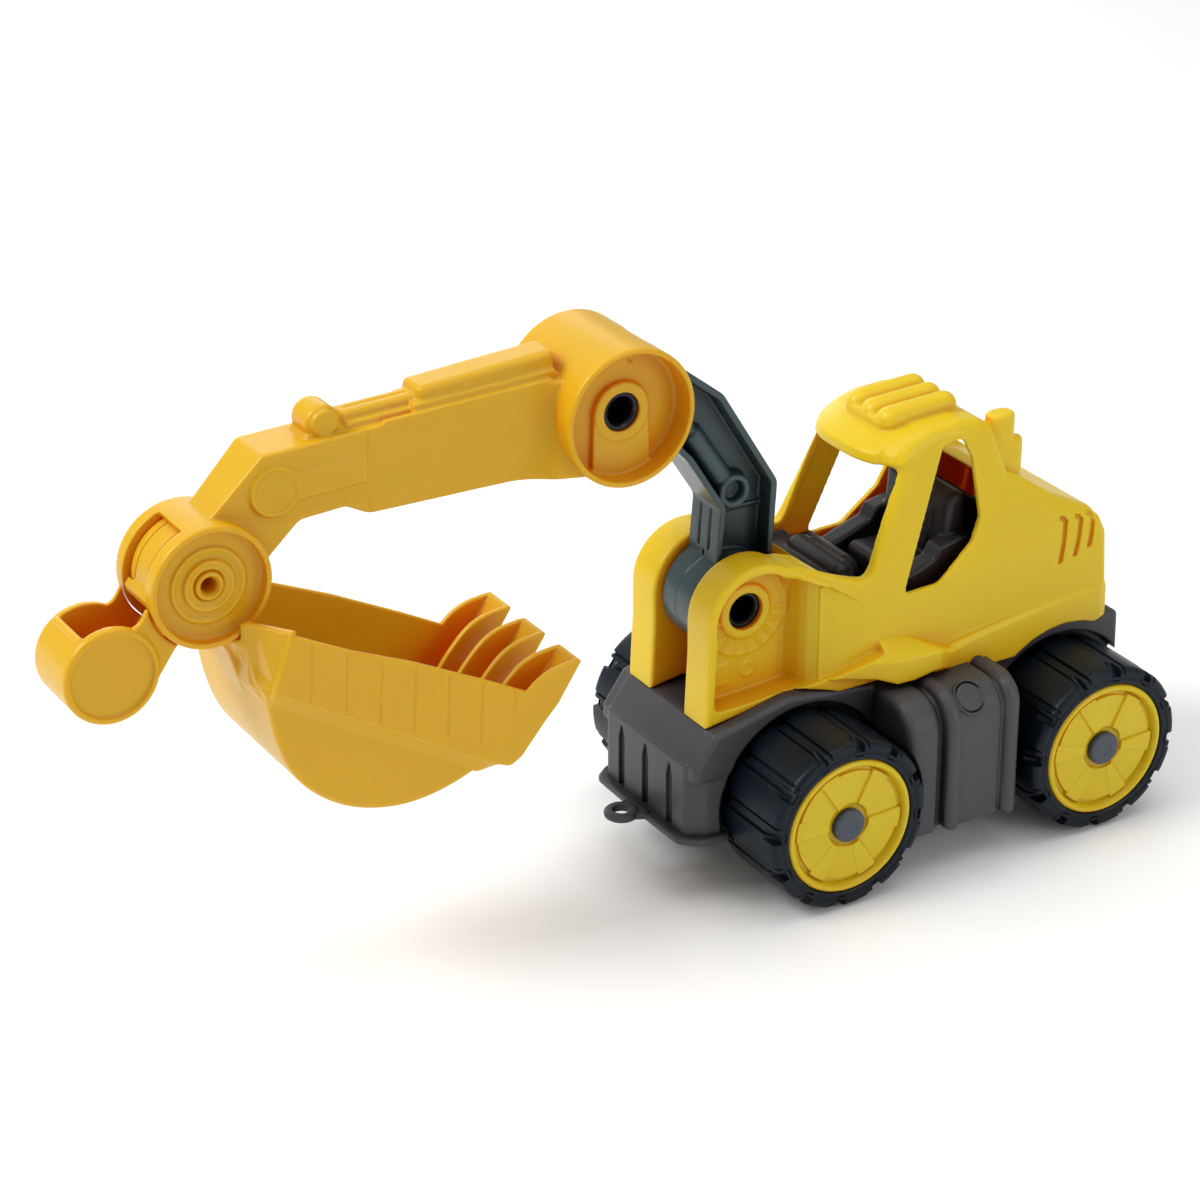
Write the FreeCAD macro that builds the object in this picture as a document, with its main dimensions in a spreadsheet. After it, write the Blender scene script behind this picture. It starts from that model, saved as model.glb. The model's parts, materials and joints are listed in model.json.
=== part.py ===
import FreeCAD, Part
import math
import os
import re
import Sketcher

# Toy excavator.  Front of the vehicle faces -Y, its left side faces +X, ground is Z = 0 and
# the origin is under the middle of the whole toy.

# Driving dimensions, in millimetres.
SIZES = {
    "wall": 2.4,
    # wheels and axles
    "front_axle_y": 66.5,
    "rear_axle_y": 188.0,
    "axle_z": 35.0,
    "axle_radius": 2.5,
    "axle_reach": 65.8,
    "running_gap": 0.05,
    "tyre_radius": 35.0,
    "tyre_bore": 25.4,
    "tyre_in": 29.4,
    "tyre_out": 67.5,
    "rim_lip_radius": 27.5,
    "rim_barrel_radius": 25.4,
    "lug_count": 12,
    "vane_count": 6,
    "hub_cap_radius": 7.6,
    "arch_radius": 37.6,
    # chassis
    "spine_half": 27.0,
    "deck_half": 34.0,
    "deck_z": 73.6,
    "ground_gap": 24.0,
    "nose_y": 16.0,
    "tail_y": 217.0,
    "pod_half": 62.0,
    "pod_front_y": 105.5,
    "pod_rear_y": 149.5,
    "pod_low_z": 17.0,
    "pod_top_z": 73.6,
    "pod_round": 10.0,
    "fender_radius": 41.6,
    "tow_hole_radius": 2.5,
    "tow_eye_y": 5.6,
    "tow_eye_z": 26.5,
    "tow_thick": 3.0,
    # upper body
    "hull_half": 35.0,
    "cab_half": 29.0,
    "ledge_half": 44.0,
    "ear_in": 11.8,
    "ear_out": 28.0,
    "ear_radius": 21.4,
    # arm pivots
    "low_y": 49.3,
    "low_z": 109.5,
    "top_y": -4.1,
    "top_z": 201.6,
    "end_y": -167.4,
    "end_z": 170.6,
    "grip_y": -205.3,
    "grip_z": 145.4,
    # arm sections
    "link_half": 10.5,
    "low_drum_radius": 20.0,
    "top_drum_radius": 26.6,
    "top_drum_half": 23.8,
    "top_slot_half": 11.0,
    "end_drum_radius": 22.9,
    "end_drum_half": 15.5,
    "end_slot_half": 9.5,
    "hub_half": 9.1,
    "hub_radius": 20.2,
    "core_half": 4.8,
    "stick_half": 10.8,
    "pin_radius": 8.0,
    "pin_bore": 5.2,
    "end_pin_radius": 5.6,
    "end_pin_bore": 2.6,
    "side_gap": 0.3,
    # bucket and grip
    "bucket_half": 30.0,
    "band_half": 34.0,
    "tooth_pitch": 26.0,
    "tooth_half": 8.0,
    "rib_thick": 2.2,
    "grip_radius": 18.0,
    "grip_half": 13.7,
    "lever_half": 12.5,
}

doc = FreeCAD.newDocument("toy_excavator")
sheet = doc.addObject("Spreadsheet::Sheet", "Sizes")
for row, (alias, value) in enumerate(SIZES.items(), start=1):
    sheet.set(f"A{row}", alias)
    sheet.set(f"B{row}", str(value))
    sheet.setAlias(f"B{row}", alias)
doc.recompute()

X_AXIS = FreeCAD.Vector(1, 0, 0)
Z_AXIS = FreeCAD.Vector(0, 0, 1)
TO_X = FreeCAD.Rotation(FreeCAD.Vector(0, 1, 0), 90)
YZ_PLANE = FreeCAD.Rotation(FreeCAD.Vector(1, 1, 1), 120)
pieces = []


def cell(text):
    """Write a formula of sheet aliases as a FreeCAD expression."""
    return re.sub(r"[a-z_]*[a-z]+[a-z_]*", lambda word: "Sizes." + word.group(0), str(text))


def value(text):
    """Work a formula of sheet aliases out to a number."""
    total = str(text)
    for alias in sorted(SIZES, key=len, reverse=True):
        total = re.sub(rf"\b{alias}\b", str(getattr(sheet, alias)), total)
    return float(sheet.evalExpression(total))


def place(solid, at_x=0, at_y=0, at_z=0):
    """Bind a solid's position to the sheet."""
    solid.setExpression("Placement.Base.x", cell(at_x))
    solid.setExpression("Placement.Base.y", cell(at_y))
    solid.setExpression("Placement.Base.z", cell(at_z))
    return solid


def cylinder(radius, low, high, at_y, at_z):
    """A round bar along X, from low to high."""
    bar = doc.addObject("Part::Cylinder", "bar")
    bar.setExpression("Radius", cell(radius))
    bar.setExpression("Height", cell(f"({high}) - ({low})"))
    bar.Placement = FreeCAD.Placement(FreeCAD.Vector(), TO_X)
    return place(bar, low, at_y, at_z)


def post(radius, height, at_x, at_y, at_z):
    """A round bar along Z."""
    bar = doc.addObject("Part::Cylinder", "post")
    bar.setExpression("Radius", cell(radius))
    bar.setExpression("Height", cell(height))
    return place(bar, at_x, at_y, at_z)


def block(low, high):
    """A box between two corners, each given as three formulas."""
    box = doc.addObject("Part::Box", "block")
    for side, start, end in zip(("Length", "Width", "Height"), low, high):
        box.setExpression(side, cell(f"({end}) - ({start})"))
    return place(box, *low)


def prism(outline, low, high, anchor=("0", "0"), plane="yz"):
    """A sketched outline padded along the plane's normal, from low to high."""
    sketch = doc.addObject("Sketcher::SketchObject", "outline")
    points = [FreeCAD.Vector(value(anchor[0]) + u, value(anchor[1]) + v, 0) for u, v in outline]
    count = len(points)
    for i in range(count):
        sketch.addGeometry(Part.LineSegment(points[i], points[(i + 1) % count]), False)
    for i in range(count):
        sketch.addConstraint(Sketcher.Constraint("Coincident", i, 2, (i + 1) % count, 1))
    for i, (u, v) in enumerate(outline):
        for axis, offset, base, coordinate in (
            ("X", u, anchor[0], points[i].x),
            ("Y", v, anchor[1], points[i].y),
        ):
            rule = Sketcher.Constraint(f"Distance{axis}", -1, 1, i, 1, coordinate)
            index = sketch.addConstraint(rule)
            name = f"point_{i}_{axis}"
            sketch.renameConstraint(index, name)
            sketch.setExpression(f"Constraints.{name}", cell(f"{base} + ({offset})"))
    pad = doc.addObject("Part::Extrusion", "prism")
    pad.Base = sketch
    pad.DirMode = "Custom"
    pad.Solid = True
    pad.setExpression("LengthFwd", cell(f"({high}) - ({low})"))
    if plane == "yz":
        sketch.Placement = FreeCAD.Placement(FreeCAD.Vector(), YZ_PLANE)
        pad.Dir = X_AXIS
        return place(pad, low)
    pad.Dir = Z_AXIS
    return place(pad, 0, 0, low)


def fuse(*solids):
    joined = doc.addObject("Part::MultiFuse", "joined")
    joined.Shapes = list(solids)
    return joined


def cut(base, *tools):
    result = doc.addObject("Part::Cut", "trimmed")
    result.Base = base
    result.Tool = tools[0] if len(tools) == 1 else fuse(*tools)
    return result


def span(sign, near, far):
    """Low and high X limits of a feature on one side of the centre plane."""
    if sign == "-":
        return f"-({far})", f"-({near})"
    return near, far


def finish(label, solid):
    solid.Label = label
    pieces.append(solid)
    return solid


def lathe(label, profile, at_y, at_z, turned=False):
    """A body turned about X from a closed (x, radius) outline."""
    body = doc.addObject("PartDesign::Body", label)
    sketch = body.newObject("Sketcher::SketchObject", label + "_profile")
    plane = [f for f in body.Origin.OriginFeatures if f.Role == "XY_Plane"][0]
    sketch.AttachmentSupport = [(plane, "")]
    sketch.MapMode = "FlatFace"
    points = [FreeCAD.Vector(value(x), value(r), 0) for x, r in profile]
    count = len(points)
    for i in range(count):
        sketch.addGeometry(Part.LineSegment(points[i], points[(i + 1) % count]), False)
    for i in range(count):
        sketch.addConstraint(Sketcher.Constraint("Coincident", i, 2, (i + 1) % count, 1))
    for i, (x, r) in enumerate(profile):
        for axis, formula, coordinate in (("X", x, points[i].x), ("Y", r, points[i].y)):
            rule = Sketcher.Constraint(f"Distance{axis}", -1, 1, i, 1, coordinate)
            index = sketch.addConstraint(rule)
            name = f"point_{i}_{axis}"
            sketch.renameConstraint(index, name)
            sketch.setExpression(f"Constraints.{name}", cell(formula))
    turn = body.newObject("PartDesign::Revolution", label + "_turned")
    turn.Profile = sketch
    turn.ReferenceAxis = (sketch, ["H_Axis"])
    turn.Angle = 360
    if turned:
        body.Placement = FreeCAD.Placement(FreeCAD.Vector(), FreeCAD.Rotation(Z_AXIS, 180))
    place(body, 0, at_y, at_z)
    return body


def repeat_round(body, feature, count):
    """Repeat a feature round the body's X axis."""
    axis = [f for f in body.Origin.OriginFeatures if f.Role == "X_Axis"][0]
    pattern = body.newObject("PartDesign::PolarPattern", feature.Name + "_round")
    pattern.Originals = [feature]
    pattern.Axis = (axis, [""])
    pattern.Angle = 360
    pattern.setExpression("Occurrences", cell(count))
    body.Tip = pattern
    return pattern


def offset_box(body, kind, name, low, high):
    """A box feature of a body between two corners."""
    box = body.newObject(f"PartDesign::{kind}Box", name)
    for side, start, end in zip(("Length", "Width", "Height"), low, high):
        box.setExpression(side, cell(f"({end}) - ({start})"))
    for axis, start in zip("xyz", low):
        box.setExpression(f"Placement.Base.{axis}", cell(start))
    return box


# ---------------------------------------------------------------- wheels and axles


def make_tyre(label, at_y, turned):
    """Hard plastic tyre with a stepped seat for the rim's lip and notched outer shoulder."""
    body = lathe(
        label,
        [
            ("tyre_in + 1", "tyre_bore"),
            ("tyre_out - 2.3", "tyre_bore"),
            ("tyre_out - 2.3", "rim_lip_radius + 0.1"),
            ("tyre_out", "rim_lip_radius + 0.1"),
            ("tyre_out", "tyre_radius - 2"),
            ("tyre_out - 1.8", "tyre_radius"),
            ("tyre_in + 2.5", "tyre_radius"),
            ("tyre_in", "tyre_radius - 3"),
            ("tyre_in", "tyre_bore + 1"),
        ],
        at_y,
        "axle_z",
        turned,
    )
    notch = offset_box(
        body,
        "Subtractive",
        label + "_notch",
        ("tyre_out - 9", "-2.4", "tyre_radius - 3"),
        ("tyre_out + 1", "2.4", "tyre_radius + 2"),
    )
    repeat_round(body, notch, "lug_count")
    return finish(label, body)


def make_rim(label, at_y, turned):
    """Dished rim: hub sleeve, web with vanes, barrel inside the tyre and a lip over it."""
    body = lathe(
        label,
        [
            ("tyre_in + 2.6", "axle_radius + running_gap"),
            ("tyre_out - 4.8", "axle_radius + running_gap"),
            ("tyre_out - 4.8", "hub_cap_radius + 1"),
            ("tyre_out - 8.4", "rim_barrel_radius - 2"),
            ("tyre_out - 1", "rim_barrel_radius - 1.4"),
            ("tyre_out", "rim_barrel_radius - 0.6"),
            ("tyre_out", "rim_lip_radius"),
            ("tyre_out - 2.2", "rim_lip_radius"),
            ("tyre_out - 2.2", "rim_barrel_radius - 0.1"),
            ("tyre_in + 1", "rim_barrel_radius - 0.1"),
            ("tyre_in + 1", "rim_barrel_radius - 1.9"),
            ("tyre_out - 10.6", "rim_barrel_radius - 2"),
            ("tyre_out - 7.4", "hub_cap_radius"),
            ("tyre_in + 2.6", "hub_cap_radius - 1.6"),
        ],
        at_y,
        "axle_z",
        turned,
    )
    vane = offset_box(
        body,
        "Additive",
        label + "_vane",
        ("tyre_out - 9.4", "-2.6", "hub_cap_radius + 0.6"),
        ("tyre_out - 5.2", "2.6", "rim_barrel_radius - 1.8"),
    )
    repeat_round(body, vane, "vane_count")
    return finish(label, body)


def make_hub_cap(label, at_y, turned):
    """Push-on cap that grips the axle's end and keeps the wheel on."""
    body = lathe(
        label,
        [
            ("axle_reach", "0"),
            ("axle_reach", "axle_radius"),
            ("tyre_out - 4.5", "axle_radius"),
            ("tyre_out - 4.5", "hub_cap_radius"),
            ("tyre_out - 0.9", "hub_cap_radius"),
            ("tyre_out", "hub_cap_radius - 1.2"),
            ("tyre_out + 0.3", "0"),
        ],
        at_y,
        "axle_z",
        turned,
    )
    return finish(label, body)


def make_axle(label, at_y):
    """Straight steel rod with chamfered ends."""
    body = lathe(
        label,
        [
            ("-axle_reach", "0"),
            ("-axle_reach", "axle_radius - 0.6"),
            ("-axle_reach + 0.6", "axle_radius"),
            ("axle_reach - 0.6", "axle_radius"),
            ("axle_reach", "axle_radius - 0.6"),
            ("axle_reach", "0"),
        ],
        at_y,
        "axle_z",
    )
    return finish(label, body)


for end in ("front", "rear"):
    make_axle(f"{end}_axle", f"{end}_axle_y")
    for side, turned in (("left", False), ("right", True)):
        make_tyre(f"{end}_{side}_tyre", f"{end}_axle_y", turned)
        make_rim(f"{end}_{side}_rim", f"{end}_axle_y", turned)
        make_hub_cap(f"{end}_{side}_hub_cap", f"{end}_axle_y", turned)

# ---------------------------------------------------------------- chassis


def wheel_arches(radius, near, far):
    """Discs over all four wheels, used for the arches and for the fenders round them."""
    return [
        cylinder(radius, *span(sign, near, far), axle_y, "axle_z")
        for sign in ("", "-")
        for axle_y in ("front_axle_y", "rear_axle_y")
    ]


def shoulder(at_x, at_z):
    """Round bar along Y that gives the tank its shoulder."""
    bar = doc.addObject("Part::Cylinder", "shoulder")
    bar.setExpression("Radius", cell("pod_round"))
    bar.setExpression("Height", cell("pod_rear_y - pod_front_y + 4"))
    bar.Placement = FreeCAD.Placement(
        FreeCAD.Vector(), FreeCAD.Rotation(FreeCAD.Vector(1, 0, 0), -90)
    )
    return place(bar, at_x, "pod_front_y - 2", at_z)


def pod(sign):
    """Side tank between the wheels: rounded shoulder, closed outside, open underneath."""
    outer = block(
        (span(sign, "spine_half - 1", "pod_half")[0], "pod_front_y", "pod_low_z"),
        (span(sign, "spine_half - 1", "pod_half")[1], "pod_rear_y", "pod_top_z"),
    )
    corner_low, corner_high = span(sign, "pod_half - pod_round", "pod_half + 1")
    corner = cut(
        block(
            (corner_low, "pod_front_y - 1", "pod_top_z - pod_round"),
            (corner_high, "pod_rear_y + 1", "pod_top_z + 1"),
        ),
        shoulder(f"{sign}(pod_half - pod_round)", "pod_top_z - pod_round"),
    )
    low, high = span(sign, "spine_half - 3", "pod_half - wall - 0.9")
    deep = block((low, "pod_front_y + wall", "pod_low_z - 1"), (high, "pod_rear_y - wall", "61"))
    low, high = span(sign, "spine_half - 3", "pod_half - pod_round + 1")
    upper = block((low, "pod_front_y + wall", "60"), (high, "pod_rear_y - wall", "deck_z - wall"))
    return cut(outer, corner), [deep, upper]


def make_chassis():
    spine = prism(
        [(16, 24), (16, 56), (25, 68.6), (211, 68.6), (217, 72), (217, 44), (212, 24)],
        "-spine_half",
        "spine_half",
    )
    bumper = prism(
        [(-29, 16), (29, 16), (34, 21), (34, 33), (-34, 33), (-34, 21)],
        "ground_gap",
        "ground_gap + 32",
        plane="xy",
    )
    fender = prism(
        [(16, 56), (24.5, 68), (71, 68), (76, 73.6), (212, 73.6), (217, 68), (217, 58), (33, 56)],
        "-deck_half",
        "deck_half",
    )
    tail = block(("-deck_half", "tail_y - 11", "axle_z + 12"), ("deck_half", "tail_y", "deck_z"))
    lip = prism(
        [(-31, 12.5), (31, 12.5), (35, 20), (35, 30), (-35, 30), (-35, 20)],
        "ground_gap",
        "ground_gap + 3",
        plane="xy",
    )
    loop = fuse(
        post("tow_hole_radius + 3.4", "tow_thick", 0, "tow_eye_y", "tow_eye_z - tow_thick / 2"),
        block(
            ("-4.4", "tow_eye_y", "tow_eye_z - tow_thick / 2"),
            ("4.4", "nose_y + 2", "tow_eye_z + tow_thick / 2"),
        ),
    )
    tow_hole = post("tow_hole_radius", "tow_thick + 2", 0, "tow_eye_y", "tow_eye_z - 2.5")
    left_pod, left_rooms = pod("")
    right_pod, right_rooms = pod("-")
    arch_tops = cut(
        fuse(*wheel_arches("fender_radius", "ear_out + side_gap", "deck_half")),
        block(("-deck_half - 1", "-10", "-10"), ("deck_half + 1", "tail_y + 20", "deck_z - 2")),
    )
    room = prism(
        [(18.4, 20), (18.4, 55), (26.5, 65.6), (72, 65.6), (77, 71.2), (208, 71.2), (214.6, 69),
         (214.6, 40), (210, 20)],
        "-spine_half + wall",
        "spine_half - wall",
    )
    bumper_room = prism(
        [(-28, 18.4), (28, 18.4), (31.6, 22), (31.6, 27.2), (-31.6, 27.2), (-31.6, 22)],
        "ground_gap - 4",
        "ground_gap + 29.6",
        plane="xy",
    )
    nose_grooves = [
        block((f"{x} - 1.6", "nose_y - 1", "ground_gap + 4"), (f"{x} + 1.6", "nose_y + 1.4", "54"))
        for x in ("-17", "0", "17")
    ]
    shell = cut(
        fuse(spine, bumper, fender, tail, arch_tops, left_pod, right_pod),
        room,
        bumper_room,
        *left_rooms,
        *right_rooms,
        *wheel_arches("arch_radius", "spine_half", "pod_half + 10"),
        *nose_grooves,
    )
    bosses = [
        cylinder("axle_radius + 3.2", "-tyre_in - 2", "tyre_in + 2", axle_y, "axle_z")
        for axle_y in ("front_axle_y", "rear_axle_y")
    ]
    ribs = [
        post("3.4", "deck_z - 26", f"{sign}(pod_half - 0.8)", rib_y, "pod_low_z")
        for sign in ("", "-")
        for rib_y in ("pod_front_y + 11", "pod_rear_y - 4")
    ]
    pegs = [
        post("3", "26", peg_x, peg_y, "46")
        for peg_x in ("-19", "19")
        for peg_y in ("102", "150")
    ]
    bored = [
        cylinder("axle_radius", "-tyre_in - 4", "tyre_in + 4", axle_y, "axle_z")
        for axle_y in ("front_axle_y", "rear_axle_y")
    ]
    return finish("chassis", cut(fuse(shell, lip, loop, *bosses, *ribs, *pegs), tow_hole, *bored))


make_chassis()

# ---------------------------------------------------------------- upper body


def ear(sign):
    """Cheek plate with a raised rim that carries the lower pivot pin."""
    low, high = span(sign, "ear_in", "ear_out")
    outer = fuse(
        prism([(25.7, 69.2), (28.2, 109.5), (64, 109.5), (64, 77), (72, 74), (66, 69.2)], low, high),
        cylinder("ear_radius", low, high, "low_y", "low_z"),
        prism([(50, 109), (50, 130.8), (64, 127.2), (64, 109)], low, high),
    )
    room_low, room_high = span(sign, "ear_in + wall + 0.6", "ear_out + 1")
    room = fuse(
        prism([(28.8, 72.4), (30.8, 109.5), (61, 109.5), (61, 75), (59, 72.4)], room_low, room_high),
        cylinder("ear_radius - 2.6", room_low, room_high, "low_y", "low_z"),
    )
    bore = cylinder("pin_radius - 0.5", f"{low} - 1", f"{high} + 1", "low_y", "low_z")
    return cut(outer, room, bore)


def make_cab_body():
    hull = prism(
        [
            (62, 73.6),
            (62, 127.6),
            (80, 122),
            (97, 117.5),
            (166, 117.5),
            (160, 148),
            (169, 145),
            (207, 122),
            (211.4, 73.6),
        ],
        "-hull_half",
        "hull_half",
    )
    greenhouse = prism(
        [(94, 116), (105.5, 155), (103.5, 160), (110, 166.5), (128, 171), (148, 168), (160, 160),
         (172, 143), (172, 116)],
        "-cab_half",
        "cab_half",
    )
    light_bar = prism(
        [(116, 167), (117, 173), (126, 178.5), (136, 178), (142, 172), (142, 168)],
        "-12",
        "12",
    )
    stack = fuse(
        post("4.2", "34", "21", "163.5", "135"),
        post("4.2", "20", "21", "170.5", "135"),
    )
    ledge = prism(
        [(76, 92), (100, 86), (128, 84), (134, 92), (128, 73.6), (100, 73.6)],
        "-ledge_half",
        "ledge_half",
    )
    solid = fuse(hull, greenhouse, light_bar, stack, ledge)
    hull_room = prism(
        [(74.4, 70), (74.4, 121.3), (98, 115), (99.5, 114.6), (160, 114.6), (166, 143.5),
         (204.6, 120.4), (209, 70)],
        "-hull_half + wall",
        "hull_half - wall",
    )
    front_rooms = [
        block((low, "64.4", "77"), (high, "75", "120"))
        for low, high in (span(sign, "ear_in + wall", "hull_half - wall") for sign in ("", "-"))
    ]
    cab_room = prism(
        [(97.4, 112), (108.6, 156), (111, 163.6), (128, 168.2), (147, 165.4), (157.8, 158.4),
         (168, 143.4), (168, 112)],
        "-cab_half + wall",
        "cab_half - wall",
    )
    side_window = prism(
        [(110.5, 109.5), (128, 160.5), (140, 162.5), (144.5, 155), (147.6, 131), (144, 122.6)],
        "-hull_half - 1",
        "hull_half + 1",
    )
    windscreen = prism(
        [(86, 113.7), (100, 155), (113, 155), (101, 113.7)], "-cab_half + 4.5", "cab_half - 4.5"
    )
    rear_window = prism(
        [(155, 149), (152, 157), (168, 163), (172, 151)], "-cab_half + 5.5", "cab_half - 5.5"
    )
    link_room = prism(
        [(60, 60), (60, 140), (72, 140), (72, 60)], "-ear_in", "ear_in"
    )
    roof_hatch = prism(
        [(72, 112), (72, 130), (98, 130), (98, 112)], "-hull_half + 5", "hull_half - 5"
    )
    vents = [
        block(("hull_half - 1.2", f"{y}", "105"), ("hull_half + 1", f"{y} + 2.4", "123"))
        for y in ("181", "188", "195")
    ]
    fender_rooms = wheel_arches("fender_radius + side_gap", "ear_out", "hull_half + 1")
    shell = cut(
        solid, hull_room, *front_rooms, cab_room, side_window, windscreen, rear_window, link_room,
        roof_hatch, *vents, *fender_rooms,
    )
    back_wall = block(("-ear_in - 1", "74.4", "deck_z"), ("ear_in + 1", "76.4", "120"))
    brace = block(("-ear_in - 1", "62", "69.2"), ("ear_in + 1", "66", "74.2"))
    return finish("cab_body", fuse(shell, ear(""), ear("-"), back_wall, brace))


def make_cabin_insert():
    """Dark tub seen through the windows: dash deck, floor, seat and side steps."""
    deck = block(("-29", "77", "110.5"), ("29", "97", "113.5"))
    dash = cylinder("7.5", "-17", "17", "97.4", "112")
    front_wall = block(("-26", "98", "92"), ("26", "100.4", "113.5"))
    floor = block(("-26", "98", "90"), ("26", "162", "92.4"))
    seat = block(("-15", "118", "92"), ("15", "146", "106"))
    backrest = prism([(138, 104), (141, 148), (149, 150), (150, 104)], "-15", "15")
    steps = [
        prism([(104, 92), (104, 104), (118, 112), (132, 118), (146, 120), (146, 92)], low, high)
        for low, high in (("-26", "-17"), ("17", "26"))
    ]
    rear_wall = block(("-26", "148", "92"), ("26", "150.4", "132"))
    feet = [
        post("3", "91 - deck_z", foot_x, foot_y, "deck_z")
        for foot_x in ("-20", "20")
        for foot_y in ("104", "156")
    ]
    return finish(
        "cabin_insert", fuse(deck, dash, front_wall, floor, seat, backrest, *steps, rear_wall, *feet)
    )


make_cab_body()
make_cabin_insert()

# ---------------------------------------------------------------- pivot pins


def make_pin(name, radius, bore, half, at_y, at_z):
    """Hollow pivot pin with a head on the left and a push-on ring on the right."""
    pin = cut(
        fuse(
            cylinder(f"{radius} - 0.5", f"-({half})", half, at_y, at_z),
            cylinder(radius, half, f"{half} + 2", at_y, at_z),
        ),
        cylinder(bore, f"-({half}) - 1", f"{half} + 3", at_y, at_z),
    )
    finish(f"{name}_pin", pin)
    ring = cut(
        cylinder(radius, f"-({half}) - 2", f"-({half})", at_y, at_z),
        cylinder(bore, f"-({half}) - 3", f"-({half}) + 1", at_y, at_z),
    )
    finish(f"{name}_pin_ring", ring)


make_pin("lower", "pin_radius", "pin_bore", "ear_in + wall + 0.6", "low_y", "low_z")
make_pin("upper", "pin_radius", "pin_bore", "top_slot_half + wall", "top_y", "top_z")
make_pin("bucket", "end_pin_radius", "end_pin_bore", "end_slot_half + wall - 0.4", "end_y", "end_z")

# ---------------------------------------------------------------- arm


def make_link():
    """Slate link: a web with raised perimeter flange, a drum in the cheeks, an eye in the stick."""
    outline = [(41, 116), (43, 149.5), (27.8, 173), (13, 190), (-10, 196), (-8, 217), (8, 219),
               (24, 212), (43.6, 196.3), (68, 155.7), (66.4, 122), (60, 112)]
    inset = [(44.4, 134), (45.4, 150.4), (30, 174.6), (20, 188), (22, 204), (41.6, 194), (65.2, 155),
             (63.8, 130)]
    frame = fuse(
        prism(outline, "-link_half", "link_half"),
        cylinder("low_drum_radius", "-link_half", "link_half", "low_y", "low_z"),
        cylinder("top_drum_radius - 4.6", "-link_half", "link_half", "top_y", "top_z"),
    )
    panels = [
        prism(inset, *span(sign, "2.2", "link_half + 1"))
        for sign in ("", "-")
    ]
    bores = [
        cylinder("pin_radius - 0.5 + running_gap", "-link_half - 1", "link_half + 1", at_y, at_z)
        for at_y, at_z in (("low_y", "low_z"), ("top_y", "top_z"))
    ]
    drum_rooms = [
        cut(
            cylinder(room_radius, *span(sign, "2.2", "link_half + 1"), at_y, at_z),
            cylinder("pin_radius + 2.4", *span(sign, "1", "link_half + 2"), at_y, at_z),
        )
        for sign in ("", "-")
        for at_y, at_z, room_radius in (
            ("low_y", "low_z", "low_drum_radius - 2.4"),
            ("top_y", "top_z", "top_drum_radius - 7"),
        )
    ]
    return finish("lower_link", cut(frame, *panels, *bores, *drum_rooms))


def pie(at_y, at_z, reach, start_deg, end_deg, half):
    """Slot tool: a slice of a disc between two angles, measured from +Y towards +Z."""
    steps = 8
    points = [(0, 0)]
    for i in range(steps + 1):
        angle = math.radians(start_deg + (end_deg - start_deg) * i / steps)
        points.append((round(reach * math.cos(angle), 3), round(reach * math.sin(angle), 3)))
    return prism(points, f"-({half})", half, anchor=(at_y, at_z))


def make_stick():
    """Yellow stick: box beam between a wide upper drum and a narrower lower drum."""
    beam = prism(
        [(-10, 181.5), (-25, 181.5), (-104, 182.3), (-113, 187), (-131, 186), (-142, 176), (-150, 168),
         (-176, 176), (-162.5, 195), (-144.5, 213), (-90, 215), (-33, 216.5), (-10, 217)],
        "-stick_half",
        "stick_half",
    )
    rib = prism([(-111, 213), (-110, 219.5), (-80, 220), (-80, 224), (-24, 226), (-20, 213)], "-7", "7")
    knuckle = cylinder("5.5", "-6.5", "6.5", "-118.5", "218")
    top_drum = cylinder("top_drum_radius", "-top_drum_half", "top_drum_half", "top_y", "top_z")
    end_drum = cylinder("end_drum_radius", "-end_drum_half", "end_drum_half", "end_y", "end_z")
    solid = fuse(beam, rib, knuckle, top_drum, end_drum)
    cups = [
        cylinder("top_drum_radius - wall", *span(sign, "top_slot_half + wall", "top_drum_half + 1"),
                 "top_y", "top_z")
        for sign in ("", "-")
    ] + [
        cylinder("end_drum_radius - wall", *span(sign, "end_slot_half + wall - 0.4", "end_drum_half + 1"),
                 "end_y", "end_z")
        for sign in ("", "-")
    ]
    beam_room = prism(
        [(-36, 184.4), (-103, 184.9), (-112, 189.6), (-132, 188.6), (-141, 180), (-158, 194.5),
         (-143, 210.2), (-90, 212.3), (-36, 213.6)],
        "-stick_half + wall",
        "stick_half - wall",
    )
    top_slot = fuse(
        cylinder("top_drum_radius - wall - 1", "-top_slot_half", "top_slot_half", "top_y", "top_z"),
        pie("top_y", "top_z", 34, -64, 60, "top_slot_half"),
    )
    end_slot = fuse(
        cylinder("end_drum_radius - wall", "-end_slot_half", "end_slot_half", "end_y", "end_z"),
        pie("end_y", "end_z", 34, 110, 350, "end_slot_half"),
    )
    bores = [
        cylinder("pin_radius - 0.5", "-top_drum_half", "top_drum_half", "top_y", "top_z"),
        cylinder("end_pin_radius - 0.5", "-end_drum_half", "end_drum_half", "end_y", "end_z"),
    ]
    return finish("stick", cut(solid, *cups, beam_room, top_slot, end_slot, *bores))


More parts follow.
